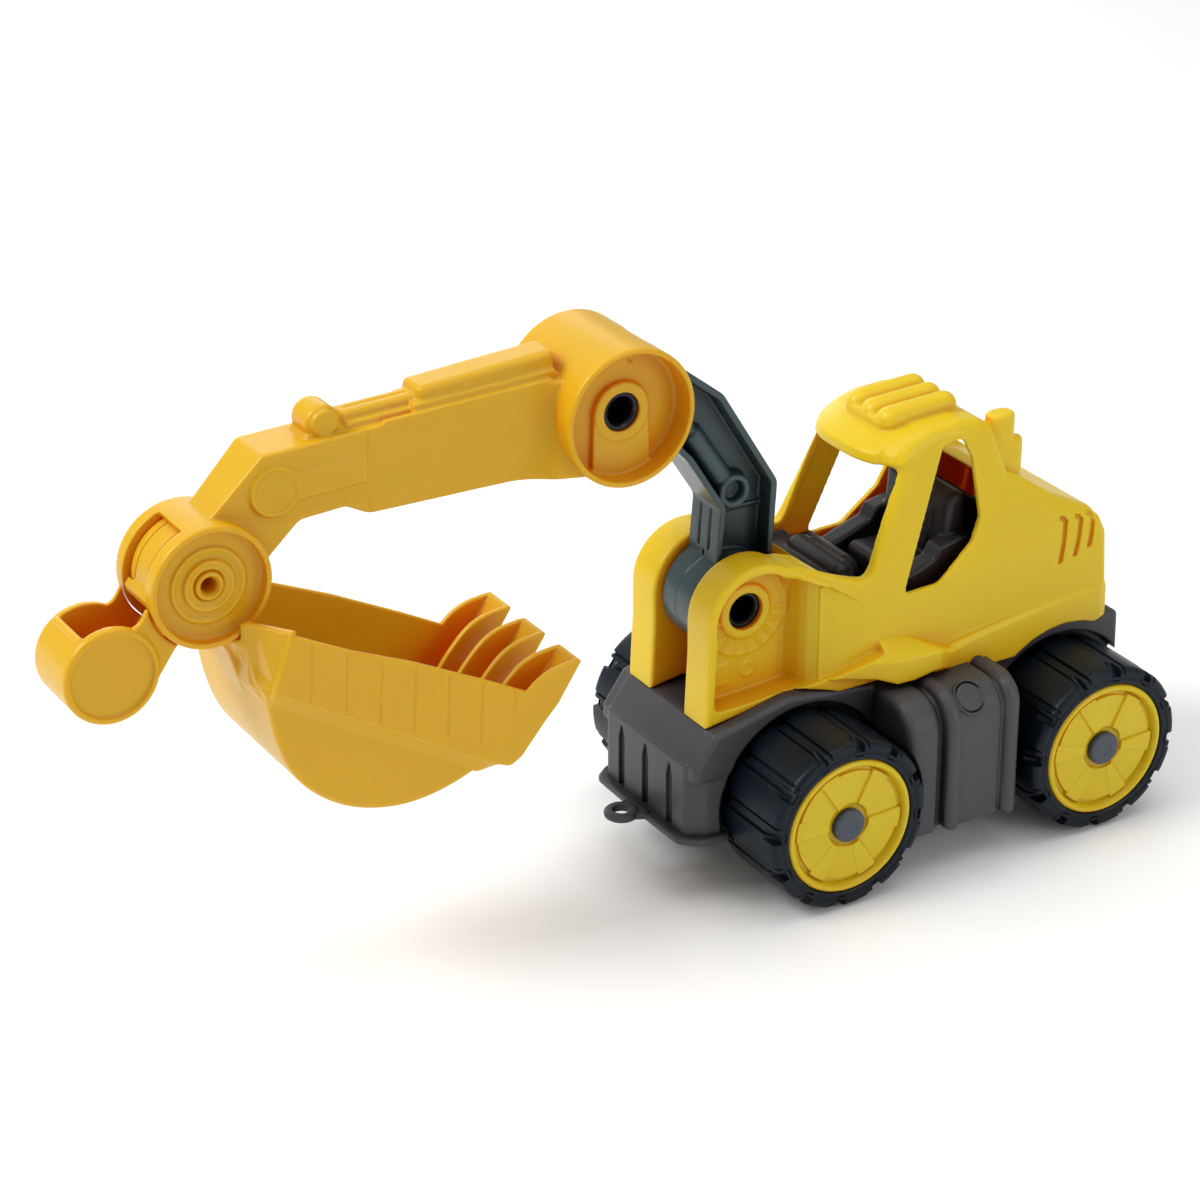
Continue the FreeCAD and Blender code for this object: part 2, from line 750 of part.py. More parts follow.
def make_bucket():
    """Bucket shell with a wider band round its mouth, pivot lugs and a row of teeth."""
    shell_outer = prism(
        [(-157, 146), (-155, 125), (-149, 103), (-142, 92), (-130, 82.5), (-115, 76), (-95, 75),
         (-80.5, 78), (-62, 85), (-48, 106), (-147, 156)],
        "-bucket_half",
        "bucket_half",
    )
    shell_room = prism(
        [(-154.4, 150), (-152.4, 125.6), (-146.6, 104), (-140, 93.8), (-128.8, 84.8), (-114.4, 78.5),
         (-95.4, 77.5), (-81.4, 80.4), (-58, 89.5), (-30, 100), (-30, 130), (-147, 170)],
        "-bucket_half + wall",
        "bucket_half - wall",
    )
    band_outer = prism(
        [(-157, 147), (-154.3, 133.7), (-72, 85), (-61.7, 80.4), (-57, 82.8), (-41, 102), (-99.6, 132),
         (-124.6, 144), (-147, 155.5)],
        "-band_half",
        "band_half",
    )
    band_room = prism(
        [(-154.6, 176), (-154.6, 137), (-151, 134.8), (-74, 88.6), (-60, 86), (-57, 87), (-42.6, 104),
         (-40, 140), (-147, 175)],
        "-band_half + wall",
        "band_half - wall",
    )
    teeth = []
    for position in ("-tooth_pitch", "0", "tooth_pitch"):
        teeth.append(
            prism(
                [(-58, 84), (-41, 101.5), (-31.4, 116.4), (-34, 116.8), (-43.4, 103.4), (-60, 86)],
                f"{position} - tooth_half",
                f"{position} + tooth_half",
            )
        )
        for edge in ("-tooth_half", "tooth_half - rib_thick"):
            teeth.append(
                prism(
                    [(-59, 85), (-41, 102), (-31.4, 116.4), (-40, 115.6), (-46.5, 112.4), (-54, 105),
                     (-68, 88)],
                    f"{position} + {edge}",
                    f"{position} + {edge} + rib_thick",
                )
            )
    back = prism(
        [(-168, 158), (-160, 141), (-155, 124), (-149.5, 124), (-150.5, 150), (-157, 160)],
        "-hub_half",
        "hub_half",
    )
    shell = cut(fuse(shell_outer, band_outer), shell_room, band_room)
    hub = hub_disc("hub_half")
    core_room = cylinder("hub_radius + side_gap", "-core_half - 0.15", "core_half + 0.15",
                         "end_y", "end_z")
    bucket = cut(fuse(shell, *teeth, back, hub), core_room, hub_bore(), *cheek_rooms())
    return finish("bucket", bucket)


def hub_disc(half):
    """Round hub on the bucket pivot that turns in the lower drum's slot."""
    return cylinder("hub_radius", f"-({half})", half, "end_y", "end_z")


def hub_bore():
    return cylinder("end_pin_radius - 0.5 + running_gap", "-20", "20", "end_y", "end_z")


def cheek_rooms():
    """Space that the stick's two lower cups turn in."""
    return [
        cylinder("end_drum_radius + 0.6", *span(sign, "end_slot_half - 0.1", "end_drum_half + 0.6"),
                 "end_y", "end_z")
        for sign in ("", "-")
    ]


def make_handle():
    """Channel lever from the bucket pivot to a drum-shaped hand grip, open along its top."""
    lever = prism(
        [(-178, 186), (-189.7, 168.4), (-195.1, 159.2), (-205.3, 163.3), (-205.3, 127.5),
         (-191, 135.6), (-180.3, 150.7), (-166, 160)],
        "-lever_half",
        "lever_half",
    )
    drum = cylinder("grip_radius", "-grip_half", "grip_half", "grip_y", "grip_z")
    channel = prism(
        [(-191, 173), (-197, 172), (-208, 172), (-205.3, 130), (-192, 138.6), (-184.5, 152.5),
         (-189, 163.5)],
        "-lever_half + wall",
        "lever_half - wall",
    )
    hollow = cylinder("grip_radius - wall", "-lever_half + wall", "lever_half - wall",
                      "grip_y", "grip_z")
    mouth = prism(
        [(-5, 0), (-11.5, 20), (30, 20), (14, 0)], "-lever_half + wall", "lever_half - wall",
        anchor=("grip_y", "grip_z"),
    )
    faces = [
        cylinder("grip_radius - 2.6", *span(sign, "grip_half - 1.6", "grip_half + 1"),
                 "grip_y", "grip_z")
        for sign in ("", "-")
    ]
    lug_rooms = [
        cylinder("hub_radius + side_gap", *span(sign, "core_half", "lever_half + 1"),
                 "end_y", "end_z")
        for sign in ("", "-")
    ]
    body = cut(fuse(lever, drum), channel, hollow, mouth, *faces, *lug_rooms, *cheek_rooms())
    return finish("bucket_handle", cut(fuse(body, hub_disc("core_half")), hub_bore()))


make_link()
make_stick()
make_bucket()
make_handle()

# ---------------------------------------------------------------- checks and export

doc.recompute()
for item in doc.Objects:
    if "Invalid" in item.State or "Error" in item.State:
        raise RuntimeError(f"{item.Name} ({item.Label}) failed: {item.State}")
for piece in pieces:
    if piece.Shape.isNull() or not piece.Shape.isValid():
        raise RuntimeError(f"{piece.Label} has no valid shape")

os.makedirs("parts", exist_ok=True)
for piece in pieces:
    piece.Shape.exportStep(f"parts/{piece.Label}.step")
    box = piece.Shape.BoundBox
    print(f"{piece.Label}: {len(piece.Shape.Solids)} solid(s), {piece.Shape.Volume / 1000:.1f} cm3, "
          f"X {box.XMin:.1f}..{box.XMax:.1f} Y {box.YMin:.1f}..{box.YMax:.1f} "
          f"Z {box.ZMin:.1f}..{box.ZMax:.1f}")
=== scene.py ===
"""Looks of the toy excavator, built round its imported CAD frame.

Lengths inside this file are millimetres; objects are made in metres, in the frame's own axes:
front towards -Y, left towards +X, up +Z.
"""

import json
import math

import bmesh
import bpy
from mathutils import Matrix, Vector


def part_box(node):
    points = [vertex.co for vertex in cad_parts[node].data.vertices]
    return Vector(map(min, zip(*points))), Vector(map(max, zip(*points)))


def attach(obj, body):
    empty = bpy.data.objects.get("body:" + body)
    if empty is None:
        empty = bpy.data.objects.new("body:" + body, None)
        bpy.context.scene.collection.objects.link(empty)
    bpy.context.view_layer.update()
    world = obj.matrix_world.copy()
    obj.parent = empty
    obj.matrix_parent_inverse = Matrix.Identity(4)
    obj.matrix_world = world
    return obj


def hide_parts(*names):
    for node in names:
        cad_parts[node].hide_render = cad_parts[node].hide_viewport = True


MM = 0.001
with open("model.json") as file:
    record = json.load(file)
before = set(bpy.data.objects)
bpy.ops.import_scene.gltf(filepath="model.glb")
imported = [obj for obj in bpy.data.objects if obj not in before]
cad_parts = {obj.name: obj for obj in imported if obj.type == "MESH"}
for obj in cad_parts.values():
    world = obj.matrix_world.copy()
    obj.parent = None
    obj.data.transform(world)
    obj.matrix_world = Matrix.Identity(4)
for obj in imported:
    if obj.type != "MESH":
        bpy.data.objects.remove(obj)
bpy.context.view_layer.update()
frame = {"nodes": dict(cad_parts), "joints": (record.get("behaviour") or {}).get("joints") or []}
scene = bpy.context.scene

# ------------------------------------------------------------------ places read from the frame

joints = {joint["name"]: Vector(joint["pos_m"]) / MM for joint in frame["joints"]}
LOW_Y, LOW_Z = joints["link_hinge"].yz
TOP_Y, TOP_Z = joints["stick_hinge"].yz
END_Y, END_Z = joints["bucket_hinge"].yz
AXLE_Z = joints["front_left_spin"].z
AXLE_Y = {"front": joints["front_left_spin"].y, "rear": joints["rear_left_spin"].y}
GRIP_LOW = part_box("bucket_handle")[0] / MM
GRIP_RADIUS = 18.0
GRIP_Y = GRIP_LOW.y + GRIP_RADIUS
GRIP_Z = GRIP_LOW.z + GRIP_RADIUS

# ------------------------------------------------------------------ mesh tools


def ramp(value, start, length):
    """How far a value is along a stretch, from 0 to 1; a negative length runs backwards."""
    return min(1.0, max(0.0, (value - start) / length))


def to_object(name, bm):
    """Turn a bmesh in millimetres into an object in metres."""
    bmesh.ops.remove_doubles(bm, verts=bm.verts, dist=1e-5)
    bmesh.ops.recalc_face_normals(bm, faces=bm.faces)
    bmesh.ops.scale(bm, vec=(MM, MM, MM), verts=bm.verts)
    mesh = bpy.data.meshes.new(name)
    bm.to_mesh(mesh)
    bm.free()
    obj = bpy.data.objects.new(name, mesh)
    scene.collection.objects.link(obj)
    return obj


def rounded(outline, radius):
    """Round a closed outline's corners; a third number in a point is that corner's own radius."""
    steps = 5
    result = []
    for i, point in enumerate(outline):
        here = Vector(point[:2])
        own = point[2] if len(point) > 2 else radius
        before = Vector(outline[i - 1][:2]) - here
        after = Vector(outline[(i + 1) % len(outline)][:2]) - here
        corner = before.angle(after)
        if own <= 0 or corner > math.radians(174):
            result.append(here)
            continue
        reach = min(own / math.tan(corner / 2), 0.47 * before.length, 0.47 * after.length)
        arc = reach * math.tan(corner / 2)
        middle = (before.normalized() + after.normalized()).normalized()
        centre = here + middle * arc / math.sin(corner / 2)
        start = here + before.normalized() * reach - centre
        end = here + after.normalized() * reach - centre
        turn = math.atan2(start.x * end.y - start.y * end.x, start.dot(end))
        for k in range(steps + 1):
            angle = turn * k / steps
            spoke = Vector((
                start.x * math.cos(angle) - start.y * math.sin(angle),
                start.x * math.sin(angle) + start.y * math.cos(angle),
            ))
            result.append(centre + spoke)
    return result


def inset(outline, amounts):
    """Move an outline inwards along its corner normals, by an amount for each point."""
    area = sum(a.x * b.y - b.x * a.y for a, b in zip(outline, outline[1:] + outline[:1]))
    side = 1 if area > 0 else -1
    result = []
    for i, here in enumerate(outline):
        ahead = (outline[(i + 1) % len(outline)] - here).normalized()
        behind = (here - outline[i - 1]).normalized()
        normal = Vector((-(ahead.y + behind.y), ahead.x + behind.x)).normalized() * side
        stretch = 1 / max(0.5, normal.dot(Vector((-ahead.y, ahead.x)) * side))
        result.append(here + normal * amounts[i] * stretch)
    return result


def slab(outline, low, high, radius=1.5, soften=0.8, plane="yz"):
    """Extrude a rounded outline between two levels, with rolled rims.

    soften is the rims' radius, or a rule that gives it for each point of the outline.
    """
    edge = rounded(outline, radius)
    roll = [soften(point) if callable(soften) else soften for point in edge]
    turns = [math.pi / 2 * k / 4 for k in range(5)]
    rings = []
    for side in (1, -1):
        for turn in turns[::side]:
            shape = inset(edge, [r * (1 - math.sin(turn)) for r in roll])
            depth = [r * (1 - math.cos(turn)) for r in roll]
            start = low if side == 1 else high
            rings.append([(start + side * d, p) for d, p in zip(depth, shape)])
    bm = bmesh.new()
    order = {"yz": lambda level, p: (level, p.x, p.y), "xy": lambda level, p: (p.x, p.y, level),
             "xz": lambda level, p: (p.x, level, p.y)}[plane]
    loops = [[bm.verts.new(order(level, p)) for level, p in ring] for ring in rings]
    count = len(edge)
    for lower, upper in zip(loops, loops[1:]):
        for i in range(count):
            j = (i + 1) % count
            bm.faces.new((lower[i], lower[j], upper[j], upper[i]))
    bm.faces.new(loops[0])
    bm.faces.new(reversed(loops[-1]))
    return to_object("slab", bm)


def revolve(profile, origin, direction=(1, 0, 0), sides=96):
    """Turn an (along, radius) outline about an axis; the outline starts and ends on the axis."""
    axis = Vector(direction).normalized()
    side = axis.orthogonal().normalized()
    up = axis.cross(side)
    origin = Vector(origin)
    bm = bmesh.new()
    loops = []
    for along, radius in profile:
        if radius < 1e-6:
            loops.append([bm.verts.new(origin + axis * along)])
            continue
        loops.append([
            bm.verts.new(
                origin + axis * along
                + side * radius * math.cos(math.tau * i / sides)
                + up * radius * math.sin(math.tau * i / sides)
            )
            for i in range(sides)
        ])
    for a, b in zip(loops, loops[1:]):
        for i in range(sides):
            j = (i + 1) % sides
            if len(a) == 1 and len(b) == 1:
                continue
            if len(a) == 1:
                bm.faces.new((a[0], b[i], b[j]))
            elif len(b) == 1:
                bm.faces.new((a[i], a[j], b[0]))
            else:
                bm.faces.new((a[i], a[j], b[j], b[i]))
    return to_object("turned", bm)


def drum(radius, low, high, at_y, at_z, soften=0.8):
    """A round bar along X with softened rims."""
    return revolve(
        [(low, 0), (low, radius - soften), (low + 0.3 * soften, radius - 0.3 * soften),
         (low + soften, radius), (high - soften, radius),
         (high - 0.3 * soften, radius - 0.3 * soften), (high, radius - soften), (high, 0)],
        (0, at_y, at_z),
    )


def capsule(start, end, radius, end_radius=None, sides=32):
    """A round-ended bar between two points."""
    start, end = Vector(start), Vector(end)
    end_radius = end_radius or radius
    length = (end - start).length
    steps = 8
    profile = []
    for k in range(steps + 1):
        angle = math.pi / 2 * (1 - k / steps)
        profile.append((-radius * math.sin(angle), radius * math.cos(angle)))
    for k in range(steps + 1):
        angle = math.pi / 2 * k / steps
        profile.append((length + end_radius * math.sin(angle), end_radius * math.cos(angle)))
    profile[0] = (-radius, 0)
    profile[-1] = (length + end_radius, 0)
    return revolve(profile, start, end - start, sides)


def loft(sections):
    """Skin closed sections, each a list of 3D points of the same count."""
    bm = bmesh.new()
    loops = [[bm.verts.new(point) for point in section] for section in sections]
    for lower, upper in zip(loops, loops[1:]):
        for i in range(len(lower)):
            j = (i + 1) % len(lower)
            bm.faces.new((lower[i], lower[j], upper[j], upper[i]))
    bm.faces.new(loops[0])
    bm.faces.new(reversed(loops[-1]))
    return to_object("loft", bm)


def bake_modifiers(obj):
    """Put the result of an object's modifiers into its mesh."""
    evaluated = obj.evaluated_get(bpy.context.evaluated_depsgraph_get())
    mesh = bpy.data.meshes.new_from_object(evaluated)
    obj.modifiers.clear()
    obj.data = mesh
    return obj


def combine(base, tools, operation):
    """Join or cut a list of solids, one after another."""
    for tool in tools:
        step = base.modifiers.new("step", "BOOLEAN")
        step.operation = operation
        step.solver = "MANIFOLD"
        step.object = tool
    bake_modifiers(base)
    for tool in tools:
        bpy.data.objects.remove(tool)
    return base


def join(base, *tools):
    """Unite solids into one."""
    return combine(base, tools, "UNION")


def carve(base, *tools):
    """Cut solids out of another."""
    return combine(base, tools, "DIFFERENCE")


def both(make):
    """The same solid on the left side and, mirrored, on the right side."""
    left = make()
    right = left.copy()
    right.data = left.data.copy()
    scene.collection.objects.link(right)
    right.data.transform(Matrix.Scale(-1, 4, (1, 0, 0)))
    right.data.flip_normals()
    return [left, right]


def reshape(obj, move):
    """Move every vertex by a rule given in millimetres."""
    for vertex in obj.data.vertices:
        vertex.co = Vector(move(*(vertex.co / MM))) * MM
    obj.data.update()


def slice_up(obj, axis, levels):
    """Add cuts across an object at levels along one axis, so that it can be reshaped."""
    normal = [0, 0, 0]
    normal[axis] = 1
    bm = bmesh.new()
    bm.from_mesh(obj.data)
    for level in levels:
        geometry = bm.verts[:] + bm.edges[:] + bm.faces[:]
        bmesh.ops.bisect_plane(
            bm, geom=geometry, plane_co=Vector(normal) * level * MM, plane_no=normal
        )
    bm.to_mesh(obj.data)
    bm.free()


def through(points):
    """Smooth open curve through points."""
    steps = 5
    points = [Vector(point) for point in points]
    ends = [2 * points[0] - points[1], *points, 2 * points[-1] - points[-2]]
    curve = []
    for a, b, c, d in zip(ends, ends[1:], ends[2:], ends[3:]):
        for k in range(steps):
            t = k / steps
            curve.append(
                0.5 * (2 * b + (c - a) * t + (2 * a - 5 * b + 4 * c - d) * t ** 2
                       + (3 * b - a - 3 * c + d) * t ** 3)
            )
    curve.append(points[-1])
    return [(point.x, point.y, 0) for point in curve]


def melt(obj, voxel, passes, keep):
    """Rebuild a solid as one moulded skin with small fillets on all its edges."""
    remesh = obj.modifiers.new("skin", "REMESH")
    remesh.mode = "VOXEL"
    remesh.voxel_size = voxel * MM
    smooth = obj.modifiers.new("fillet", "SMOOTH")
    smooth.factor = 0.5
    smooth.iterations = passes
    thin = obj.modifiers.new("thin", "DECIMATE")
    thin.ratio = keep
    return bake_modifiers(obj)


def show(obj, name, body, slot, material, *nodes, crease=None):
    """Name a finished piece, give it its finish and let it stand for its CAD nodes."""
    obj.name = name
    obj.data.name = name
    obj.data.materials.clear()
    obj.data.materials.append(material)
    for polygon in obj.data.polygons:
        polygon.use_smooth = True
    if crease:
        obj.data.set_sharp_from_angle(angle=math.radians(crease))
    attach(obj, body)
    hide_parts(*nodes)


# ------------------------------------------------------------------ finishes


def wire(node, values, sources):
    """Set a node's inputs, and link others to the outputs given as (node, output)."""
    for socket, value in values.items():
        node.inputs[socket].default_value = value
    for socket, (source, output) in sources.items():
        node.id_data.links.new(source.outputs[output], node.inputs[socket])
    return node


def blank(name):
    """New material, its shader, and a maker of further nodes."""
    material = bpy.data.materials.new(name)
    material.use_nodes = True
    nodes = material.node_tree.nodes

    def add(kind, values=(), sources=()):
        return wire(nodes.new("ShaderNode" + kind), dict(values), dict(sources))

    return material, nodes["Principled BSDF"], add


def plastic(name, colour, deep, painted_shade, roughness, specular=0.3, glow=0.0):
    """Moulded plastic: faint flow marks, painted shade in recesses (ambient occlusion mixes in a darker,
    more orange colour), fine skin, uneven gloss.
    """
    material, shader, add = blank(name)
    place = {"Vector": (add("TexCoord"), "Object")}
    flow = add("TexNoise", {"Scale": 26, "Detail": 5, "Distortion": 0.8}, place)
    spread = add("MapRange", {"From Min": 0.3, "From Max": 0.75, "To Max": 0.35},
                 {"Value": (flow, "Fac")})
    tint = add("Mix")
    tint.data_type = "RGBA"
    wire(tint, {6: (*colour, 1), 7: (*deep, 1)}, {"Factor": (spread, "Result")})
    # Painted shade: where ambient occlusion finds a recess, the third colour replaces the plastic's own
    # colour, standing in for shade and bounced light.
    hollow = add("AmbientOcclusion", {"Distance": 0.03})
    hollow.samples = 8
    lit_share = add("MapRange", {"From Min": 0.25, "From Max": 0.85}, {"Value": (hollow, "AO")})
    depth = add("Mix")
    depth.data_type = "RGBA"
    wire(depth, {6: (*painted_shade, 1)}, {"Factor": (lit_share, "Result"), 7: (tint, 2)})
    skin = add("TexNoise", {"Scale": 900, "Detail": 3}, place)
    waves = add("TexNoise", {"Scale": 60, "Detail": 2}, place)
    height = add("Math")
    height.operation = "MULTIPLY_ADD"
    wire(height, {1: 6.0}, {0: (waves, "Fac"), 2: (skin, "Fac")})
    relief = add("Bump", {"Strength": 0.02, "Distance": 0.001}, {"Height": (height, 0)})
    gloss = add("MapRange", {"To Min": roughness - 0.06, "To Max": roughness + 0.08},
                {"Value": (waves, "Fac")})
    wire(
        shader,
        {"IOR": 1.49, "Specular IOR Level": specular, "Subsurface Weight": glow,
         "Subsurface Radius": (1.0, 0.34, 0.03), "Subsurface Scale": 0.006},
        {"Base Color": (depth, 2), "Normal": (relief, "Normal"), "Roughness": (gloss, "Result")},
    )
    return material


# In each plastic below, the third colour is painted shade, mixed in where recesses are.
CAB_YELLOW = plastic(
    "cab_yellow_plastic", (0.66, 0.475, 0.009), (0.62, 0.43, 0.008), (0.72, 0.23, 0.003), 0.34,
    glow=0.4,
)
# The arm's yellow is the cab's plastic made darker and more orange: painted shade of its side faces.
ARM_YELLOW = plastic(
    "arm_yellow_plastic", (0.60, 0.35, 0.007), (0.56, 0.315, 0.006), (0.66, 0.20, 0.003), 0.33,
    glow=0.4,
)
RIM_YELLOW = plastic(
    "rim_yellow_plastic", (0.60, 0.45, 0.008), (0.57, 0.42, 0.007), (0.62, 0.32, 0.005), 0.30,
    glow=0.4,
)
CHASSIS_GREY = plastic(
    "chassis_grey_plastic", (0.058, 0.058, 0.064), (0.050, 0.050, 0.056), (0.012, 0.012, 0.014), 0.42
)
CABIN_BLACK = plastic(
    "cabin_black_plastic", (0.024, 0.023, 0.026), (0.018, 0.017, 0.020), (0.004, 0.004, 0.005), 0.36
)
LINK_SLATE = plastic(
    "link_slate_plastic", (0.045, 0.072, 0.078), (0.036, 0.060, 0.066), (0.008, 0.014, 0.016), 0.27
)
TYRE_BLACK = plastic(
    "tyre_black_plastic", (0.003, 0.008, 0.014), (0.002, 0.005, 0.010), (0.001, 0.002, 0.004), 0.36,
    specular=0.2,
)
CAP_GREY = plastic(
    "cap_blue_grey_plastic", (0.060, 0.070, 0.090), (0.050, 0.058, 0.078), (0.03, 0.035, 0.05), 0.42
)
PIN_BLACK = plastic(
    "pin_black_plastic", (0.006, 0.006, 0.013), (0.004, 0.004, 0.009), (0.001, 0.001, 0.002), 0.18
)


def brushed_steel():
    """Drawn rod: fine lines round the bar in roughness and relief."""
    material, shader, add = blank("drawn_steel")
    stretch = add("Mapping", {"Scale": (8, 0.3, 0.3)}, {"Vector": (add("TexCoord"), "Object")})
    lines = add("TexNoise", {"Scale": 400}, {"Vector": (stretch, "Vector")})
    gloss = add("MapRange", {"To Min": 0.22, "To Max": 0.45}, {"Value": (lines, "Fac")})
    relief = add("Bump", {"Strength": 0.05, "Distance": 0.001}, {"Height": (lines, "Fac")})
    wire(
        shader,
        {"Metallic": 1.0, "Base Color": (0.55, 0.55, 0.56, 1)},
        {"Roughness": (gloss, "Result"), "Normal": (relief, "Normal")},
    )
    return material


STEEL = brushed_steel()

# ------------------------------------------------------------------ wheels

TYRE_RADIUS = 35.0
TYRE_IN = 29.4
TYRE_OUT = 67.5
RIM_LIP = 27.5
BLOCKS = 12
GROOVES = (0.56, 0.80)
SPOKES = 6
SPOKE_START = 17.4
SPOKE_WIDTH = 20.6
CAP_RADIUS = 6.8


def tyre_skin(x, angle):
    """Tread radius at a place across the tyre and round it, in millimetres."""
    pitch = math.tau / BLOCKS
    share = (angle % pitch) / pitch
    radius = TYRE_RADIUS - 0.25 * ((x - (TYRE_IN + TYRE_OUT) / 2) / 19) ** 2
    inner, outer = GROOVES
    outer_gap = abs(share - outer) < 0.125 and x > TYRE_OUT - 6.0
    inner_gap = abs(share - inner) < 0.125 and x < TYRE_IN + 6.0
    if outer_gap or inner_gap:
        return radius - 3.3
    if min(abs(share - groove) for groove in GROOVES) < 0.026:
        return radius - 1.3
    return radius - 0.5 if inner < share < outer else radius


def lathe(name, rows, end, sign, sides):
    """Closed ring round an axle from (x, radius) rows; either number may be a rule of the angle."""
    bm = bmesh.new()
    loops = []
    for x, radius in rows:
        loop = []
        for i in range(sides):
            angle = math.tau * i / sides
            along = x(angle) if callable(x) else x
            reach = radius(angle) if callable(radius) else radius
            loop.append(bm.verts.new((
                sign * along,
                AXLE_Y[end] + reach * math.cos(angle),
                AXLE_Z + reach * math.sin(angle),
            )))
        loops.append(loop)
    loops.append(loops[0])
    for lower, upper in zip(loops, loops[1:]):
        for i in range(sides):
            j = (i + 1) % sides
            bm.faces.new((lower[i], lower[j], upper[j], upper[i]))
    return to_object(name, bm)


def make_tyre(end, sign):
    """Blow-moulded tyre: twelve tread blocks, cross grooves and notched shoulders."""
    across = [TYRE_IN + inward for inward in (0.3, 0.8, 1.5, 3, 6.9, 7.1)]
    across += [TYRE_IN + 8 + 2.6 * k for k in range(9)]
    across += [TYRE_OUT - inward for inward in (7.6, 7.4, 3, 1.9, 1.1, 0.5, 0.1)]
    drops = [1.1, 0.5, 0.1] + [0] * (len(across) - 7) + [0.1, 0.4, 0.9, 1.6]
    rows = [(TYRE_IN + 1.2, RIM_LIP - 1.6), (TYRE_IN, RIM_LIP), (TYRE_IN, TYRE_RADIUS - 4.6)]
    for x, drop in zip(across, drops):
        rows.append((x, lambda angle, x=x, drop=drop: tyre_skin(x, angle) - drop))
    rows.append((TYRE_OUT, lambda angle: min(tyre_skin(TYRE_OUT, angle) - 2.0, 32.0)))
    rows += [(TYRE_OUT - inward, radius) for inward, radius in (
        (0, 31.2), (0.25, 30.9), (0.25, 30.3), (0, 30.0), (0, RIM_LIP + 1.0),
        (0.4, RIM_LIP + 0.4), (2.6, RIM_LIP + 0.1), (3.0, RIM_LIP - 1.6),
    )]
    return lathe("tyre", rows, end, sign, BLOCKS * 46)


def rim_face(radius, angle):
    """Height of the rim's disc: six straight-edged spokes raised from a shallow fan."""
    pitch = 360 / SPOKES
    share = (math.degrees(angle) + SPOKE_START) % pitch
    edge = min(share, SPOKE_WIDTH - share) / 0.9
    spoke = min(1.0, max(0.0, edge + 0.5))
    past = share - SPOKE_WIDTH
    fan = TYRE_OUT - 2.3 + 0.7 * past / (pitch - SPOKE_WIDTH) * (past > 0)
    if radius > 23.75 or (radius > 22.6 and spoke < 0.5):
        return TYRE_OUT - 2.9
    return fan + (TYRE_OUT - 1.35 - fan) * spoke


def make_rim(end, sign):
    """Rim with rounded lip, narrow ring groove and raised spokes."""
    barrel = 25.3
    rows = [(TYRE_IN + 1, 2.6), (TYRE_IN + 1, 6.0), (TYRE_OUT - 12, 6.2), (TYRE_OUT - 12, barrel - 2),
            (TYRE_IN + 1, barrel - 2), (TYRE_IN + 1, barrel), (TYRE_OUT - 2.2, barrel)]
    rows += [(TYRE_OUT - inward, RIM_LIP - narrower) for inward, narrower in (
        (2.2, 0), (0.7, 0), (0.1, 0.5), (-0.2, 1.2), (-0.1, 1.8), (0.4, 2.3), (1.2, 2.7),
        (2.4, 3.1), (2.9, 3.4),
    )]
    for radius in (23.9, 23.6, 22.8, 22.5, 20, 18, 16, 14, 12, 10.4, 9.2):
        rows.append((lambda angle, radius=radius: rim_face(radius, angle), radius))
    rows += [(TYRE_OUT - 2.6, 8.8), (TYRE_OUT - 3.0, 8.2), (TYRE_OUT - 3.0, 2.6)]
    return lathe("rim", rows, end, sign, SPOKES * 60)


def make_cap(end, sign):
    """Hub cap with a rounded edge and a shallow dimple."""
    profile = [
        (TYRE_OUT - 4.4, 0), (TYRE_OUT - 4.4, CAP_RADIUS - 0.2), (TYRE_OUT - 1.0, CAP_RADIUS),
        (TYRE_OUT - 0.4, CAP_RADIUS - 0.25), (TYRE_OUT - 0.05, CAP_RADIUS - 0.8),
        (TYRE_OUT + 0.1, CAP_RADIUS - 1.6), (TYRE_OUT + 0.25, 3.2), (TYRE_OUT + 0.1, 2.6),
        (TYRE_OUT - 0.1, 2.2), (TYRE_OUT - 0.15, 0),
    ]
    return revolve([(sign * x, r) for x, r in profile], (0, AXLE_Y[end], AXLE_Z))


for end in ("front", "rear"):
    for side, sign in (("left", 1), ("right", -1)):
        wheel = f"{end}_{side}_wheel"
        tyre = make_tyre(end, sign)
        show(tyre, f"{end}_{side}_tyre_tread", wheel, "tyre_black", TYRE_BLACK,
             f"{end}_{side}_tyre", crease=28)
        rim = make_rim(end, sign)
        show(rim, f"{end}_{side}_rim_dish", wheel, "rim_yellow", RIM_YELLOW, f"{end}_{side}_rim",
             crease=25)
        cap = make_cap(end, sign)
        show(cap, f"{end}_{side}_cap_dome", "base", "cap_blue_grey", CAP_GREY,
             f"{end}_{side}_hub_cap")
for axle in ("front_axle", "rear_axle"):
    frame["nodes"][axle].data.materials.clear()
    frame["nodes"][axle].data.materials.append(STEEL)

# ------------------------------------------------------------------ chassis

POD_HALF = 62.0
POD_FRONT, POD_REAR = 105.5, 149.5


